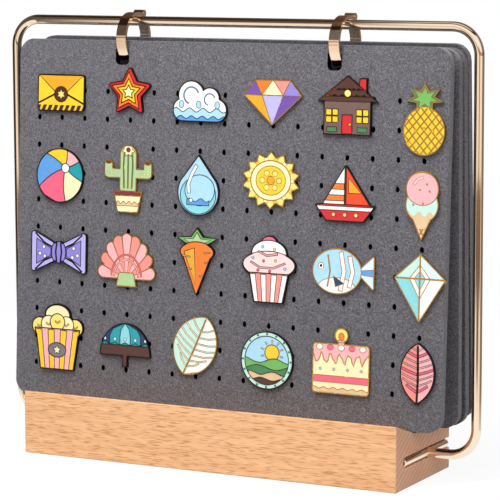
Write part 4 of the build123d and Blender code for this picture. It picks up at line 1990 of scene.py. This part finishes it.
    def build(self) -> None:
        """Enamel every pin and plate its metal."""
        enamel = FiredEnamel(attribute=self.attribute).material()
        metals = {metal: metal.value.material() for metal in PinMetal}
        stand = BoardPlace.of_node(self.board)
        nodes = sorted(name for name in frame["nodes"] if name.startswith("pin_"))
        pins = [(place, pin) for row in self.rows for place, pin in enumerate(row)]
        for node, (place, pin) in zip(nodes, pins, strict=True):
            middle = self.middle(place, pin)
            plate = self.plate_outline(node, stand, middle)
            painted = self.paint(plate, pin.draw(pin.width, pin.height))
            seat = stand.matrix() @ Matrix.Translation(Vector((middle[0], middle[1], 0)) * MM)
            mesh = self.raise_cells(*painted, seat)
            piece = keep(
                mesh, f"enamel_{node}", self.body, "enamelled_metal", enamel, metals[pin.metal]
            )
            dress([node], metals[pin.metal])
            log.info("%s: %d faces", piece.name, len(mesh.polygons))


# ------------------------------------------------------------------ pieces kept from the CAD


def dress(nodes: Iterable[str], finish: bpy.types.Material) -> None:
    """Give CAD nodes a finish.

    Args:
        nodes: The nodes.
        finish: Their material.
    """
    for name in nodes:
        data = frame["nodes"][name].data
        if not data.materials:
            data.materials.append(finish)
        for place in range(len(data.materials)):
            data.materials[place] = finish


@dataclass
class Fittings:
    """Block, wire, feet, rings and clutches, which keep their CAD shapes."""

    wood: SandedBeech = field(default_factory=SandedBeech)
    wire: PlatedSteel = WIRE_PLATE
    ring: PlatedSteel = RING_PLATE
    clutch: PlatedSteel = CLUTCH_BRASS

    def build(self) -> None:
        """Dress the CAD nodes."""
        rings = [name for name in frame["nodes"] if name.startswith("ring_")]
        dress(["base_block"], self.wood.material())
        dress(["frame_wire", "t_foot_left", "t_foot_right"], self.wire.material())
        dress(rings, self.ring.material())
        dress(["post_clutches"], self.clutch.material())
        log.info(
            "block, wire, feet, %d ring pieces and the clutches have their finishes", len(rings)
        )


# ------------------------------------------------------------------ studio


# The ways that the tent's cards hang from the stand.
LEFT = (-1.0, 0.0, 0.0)
FRONT = (0.46, -0.89, 0.0)
REAR = (0.11, 1.0, 0.0)


@dataclass(frozen=True)
class Lamp:
    """One softbox: where it stands, how large it is, and how bright."""

    name: str
    place: tuple[float, float, float]
    size: tuple[float, float]
    power: float
    colour: str = "#FFFFFF"


@dataclass(frozen=True)
class Card:
    """One coloured card in the tent that metal mirrors.

    It hangs toward a direction, begins at one cosine from there and is whole at another. It may
    also fade in from one level to another. Its share is how strongly it covers what is behind.
    """

    name: str
    toward: tuple[float, float, float]
    begins: float
    whole: float
    share: float
    colour: str
    levels: tuple[tuple[float, float], ...] = ()


@dataclass
class Studio:
    """White sweep, softboxes, the tent that metal mirrors, and the camera."""

    target: tuple[float, float, float] = (0.0107, 0.0, 0.1197)
    azimuth: float = math.radians(27.52)
    elevation: float = math.radians(7.59)
    roll: float = math.radians(-0.21)
    distance: float = 1.3659
    lens: float = 177.3
    sensor: float = 36.0
    nearest: float = 0.05
    floor_radius: float = 0.95
    # Where the floor starts to fade and is gone, as shares of its radius: to the eye, and in metal.
    floor_fade: tuple[float, float] = (0.45, 0.98)
    floor_fade_mirrored: tuple[float, float] = (0.22, 0.4)
    floor_card: str = "#BDBDBD"
    floor_glow: float = 1.12
    floor_glow_share: float = 0.8
    lamp_aim: tuple[float, float, float] = (0.0, 0.0, 0.12)
    lamps: tuple[Lamp, ...] = (
        Lamp("key", (-0.6, -1.25, 1.15), (0.8, 0.8), 7.5),
        Lamp("fill", (1.6, -1.2, 0.9), (1.2, 1.2), 12.0),
        Lamp("top", (0.0, -0.32, 0.8), (0.5, 0.5), 7.2),
        Lamp("back", (0.7, 1.6, 1.1), (1.2, 1.2), 14.0),
    )
    ambient: float = 0.3
    # What metal mirrors: the tent's colours from straight down to straight up, and its cards.
    tent: tuple[tuple[float, str], ...] = (
        (0.0, "#FFF6EA"), (0.495, "#FFF6EA"),
        (0.51, "#B4967C"), (0.535, "#B4967C"),
        (0.56, "#FFFFFF"), (0.86, "#FFFFFF"),
        (0.885, "#21160E"), (0.93, "#21160E"),
        (0.95, "#D8CBBD"), (1.0, "#D8CBBD"),
    )
    cards: tuple[Card, ...] = (
        Card("flag", LEFT, 0.4, 0.43, 0.92, "#2E2016", ((0.12, 0.2),)),
        Card("side", LEFT, 0.5, 0.54, 0.96, "#150B06", ((0.3, 0.1),)),
        Card("shade", FRONT, 0.585, 0.62, 0.9, "#5A3C2D", ((-0.16, -0.145), (-0.102, -0.107))),
        Card("foot", FRONT, 0.86, 0.95, 0.9, "#5A3C2D", ((-0.195, -0.175), (-0.14, -0.155))),
        Card("post", FRONT, 0.974, 0.988, 0.85, "#8A6E56", ((-0.19, -0.17),)),
        Card("rear", REAR, 0.04, 0.2, 0.85, "#5E4636"),
    )

    def camera(self) -> None:
        """Place the camera."""
        data = bpy.data.cameras.new("camera")
        data.lens = self.lens
        data.sensor_width = self.sensor
        data.clip_start = self.nearest
        camera = bpy.data.objects.new("camera", data)
        bpy.context.scene.collection.objects.link(camera)
        aim = Vector(self.target)
        flat = math.cos(self.elevation)
        east, north = math.sin(self.azimuth) * flat, math.cos(self.azimuth) * flat
        away = Vector((east, -north, math.sin(self.elevation)))
        camera.location = aim + away * self.distance
        turn = away.to_track_quat("Z", "Y")
        camera.rotation_euler = (turn.to_matrix() @ Matrix.Rotation(self.roll, 3, "Z")).to_euler()
        bpy.context.scene.camera = camera

    def softboxes(self) -> None:
        """Hang the softboxes, facing the stand, where metal does not mirror them."""
        for lamp in self.lamps:
            data = bpy.data.lights.new(lamp.name, "AREA")
            data.shape = "RECTANGLE"
            data.size, data.size_y = lamp.size
            data.energy = lamp.power
            data.color = linear(lamp.colour)[:3]
            light = bpy.data.objects.new(lamp.name, data)
            light.location = lamp.place
            light.visible_glossy = False
            away = Vector(lamp.place) - Vector(self.lamp_aim)
            light.rotation_euler = away.to_track_quat("Z", "Y").to_euler()
            bpy.context.scene.collection.objects.link(light)

    def surroundings(self) -> None:
        """Make all round white to the eye, and to metal a tent of colours with cards hung in it."""
        world = bpy.data.worlds.new("studio")
        world.use_nodes = True
        bpy.context.scene.world = world
        tree = world.node_tree
        sky = tree.nodes["Background"]
        path = add_node(tree, "ShaderNodeLightPath")
        look = add_node(tree, "ShaderNodeTexCoord").outputs["Generated"]
        height = add_node(tree, "ShaderNodeSeparateXYZ", {"Vector": look}).outputs["Z"]
        rise = add_node(
            tree, "ShaderNodeMapRange", {"Value": height, "From Min": -1.0, "From Max": 1.0}
        )
        tent = set_ramp(
            add_node(tree, "ShaderNodeValToRGB", {"Fac": rise.outputs["Result"]}), self.tent
        )
        mirrored = tent.outputs["Color"]
        for card in self.cards:
            toward = add_node(
                tree, "ShaderNodeVectorMath", {0: look, 1: card.toward}, operation="DOT_PRODUCT"
            )
            reach = add_node(
                tree, "ShaderNodeMapRange",
                {"Value": toward.outputs["Value"], "From Min": card.begins, "From Max": card.whole,
                 "To Min": 0.0, "To Max": card.share},
            )
            cover = reach.outputs["Result"]
            for begins, whole in card.levels:
                level = add_node(
                    tree, "ShaderNodeMapRange",
                    {"Value": height, "From Min": begins, "From Max": whole},
                )
                both = add_node(
                    tree, "ShaderNodeMath", {0: cover, 1: level.outputs["Result"]},
                    operation="MULTIPLY",
                )
                cover = both.outputs["Value"]
            hung = add_node(
                tree, "ShaderNodeMix", {"Factor": cover, "A": mirrored, "B": linear(card.colour)},
                data_type="RGBA", label=card.name,
            )
            mirrored = hung.outputs["Result"]
        ambient = (self.ambient, self.ambient, self.ambient, 1.0)
        glossy = add_node(
            tree, "ShaderNodeMix",
            {"Factor": path.outputs["Is Glossy Ray"], "A": ambient, "B": mirrored},
            data_type="RGBA",
        )
        seen = add_node(
            tree, "ShaderNodeMath",
            {0: path.outputs["Is Camera Ray"], 1: path.outputs["Is Transmission Ray"]},
            operation="MAXIMUM",
        )
        shown = add_node(
            tree, "ShaderNodeMix",
            {
                "Factor": seen.outputs["Value"], "A": glossy.outputs["Result"],
                "B": linear("#FFFFFF"),
            },
            data_type="RGBA",
        )
        tree.links.new(shown.outputs["Result"], sky.inputs["Color"])
        sky.inputs["Strength"].default_value = 1.0

    def floor(self) -> None:
        """Lay a white floor that fades out at its edge and keeps the stand's shadow."""
        shape = bmesh.new()
        bmesh.ops.create_circle(shape, cap_ends=True, radius=self.floor_radius, segments=96)
        mesh = bpy.data.meshes.new("floor")
        shape.to_mesh(mesh)
        shape.free()
        floor = bpy.data.objects.new("floor", mesh)
        bpy.context.scene.collection.objects.link(floor)
        material = bpy.data.materials.new("white_card")
        material.use_nodes = True
        tree = material.node_tree
        tree.nodes.clear()
        path = add_node(tree, "ShaderNodeLightPath")
        place = add_node(tree, "ShaderNodeTexCoord").outputs["Object"]
        reach = add_node(tree, "ShaderNodeVectorMath", {0: place}, operation="LENGTH")
        begins, gone = (self.floor_radius * share for share in self.floor_fade)
        fade = add_node(
            tree, "ShaderNodeMapRange",
            {"Value": reach.outputs["Value"], "From Min": begins, "From Max": gone},
            interpolation_type="SMOOTHSTEP",
        )
        begins, gone = (self.floor_radius * share for share in self.floor_fade_mirrored)
        far = add_node(
            tree, "ShaderNodeMapRange",
            {"Value": reach.outputs["Value"], "From Min": begins, "From Max": gone},
        )
        tented = add_node(
            tree, "ShaderNodeMath", {0: path.outputs["Is Glossy Ray"], 1: far.outputs["Result"]},
            operation="MULTIPLY",
        )
        hidden = add_node(
            tree, "ShaderNodeMath", {0: fade.outputs["Result"], 1: tented.outputs["Value"]},
            operation="MAXIMUM",
        )
        card = add_node(tree, "ShaderNodeBsdfDiffuse", {"Color": linear(self.floor_card)})
        glow = add_node(
            tree, "ShaderNodeEmission", {"Color": (1, 1, 1, 1), "Strength": self.floor_glow}
        )
        mirrored = add_node(
            tree, "ShaderNodeMath",
            {0: path.outputs["Is Glossy Ray"], 1: path.outputs["Is Transmission Ray"]},
            operation="MAXIMUM",
        )
        looked = add_node(
            tree, "ShaderNodeMath",
            {0: path.outputs["Is Camera Ray"], 1: mirrored.outputs["Value"]},
            operation="MAXIMUM",
        )
        seen = add_node(
            tree, "ShaderNodeMath", {0: looked.outputs["Value"], 1: self.floor_glow_share},
            operation="MULTIPLY",
        )
        white = add_node(
            tree, "ShaderNodeMixShader",
            {0: seen.outputs["Value"], 1: card.outputs[0], 2: glow.outputs[0]},
        )
        clear = add_node(tree, "ShaderNodeBsdfTransparent")
        edge = add_node(
            tree, "ShaderNodeMixShader",
            {0: hidden.outputs["Value"], 1: white.outputs[0], 2: clear.outputs[0]},
        )
        add_node(tree, "ShaderNodeOutputMaterial", {"Surface": edge.outputs[0]})
        mesh.materials.append(material)

    def build(self) -> None:
        """Set the studio up."""
        self.camera()
        self.softboxes()
        self.surroundings()
        self.floor()
        bpy.context.scene.view_settings.view_transform = "Standard"
        log.info("studio is set, with %d softboxes", len(self.lamps))


def main() -> None:
    """Build the stand and the studio."""
    logging.basicConfig(level=logging.INFO, format="%(name)s: %(message)s")
    Studio().build()
    Fittings().build()
    FeltBoards().build()
    PinFaces().build()


if __name__ == "__main__":
    main()
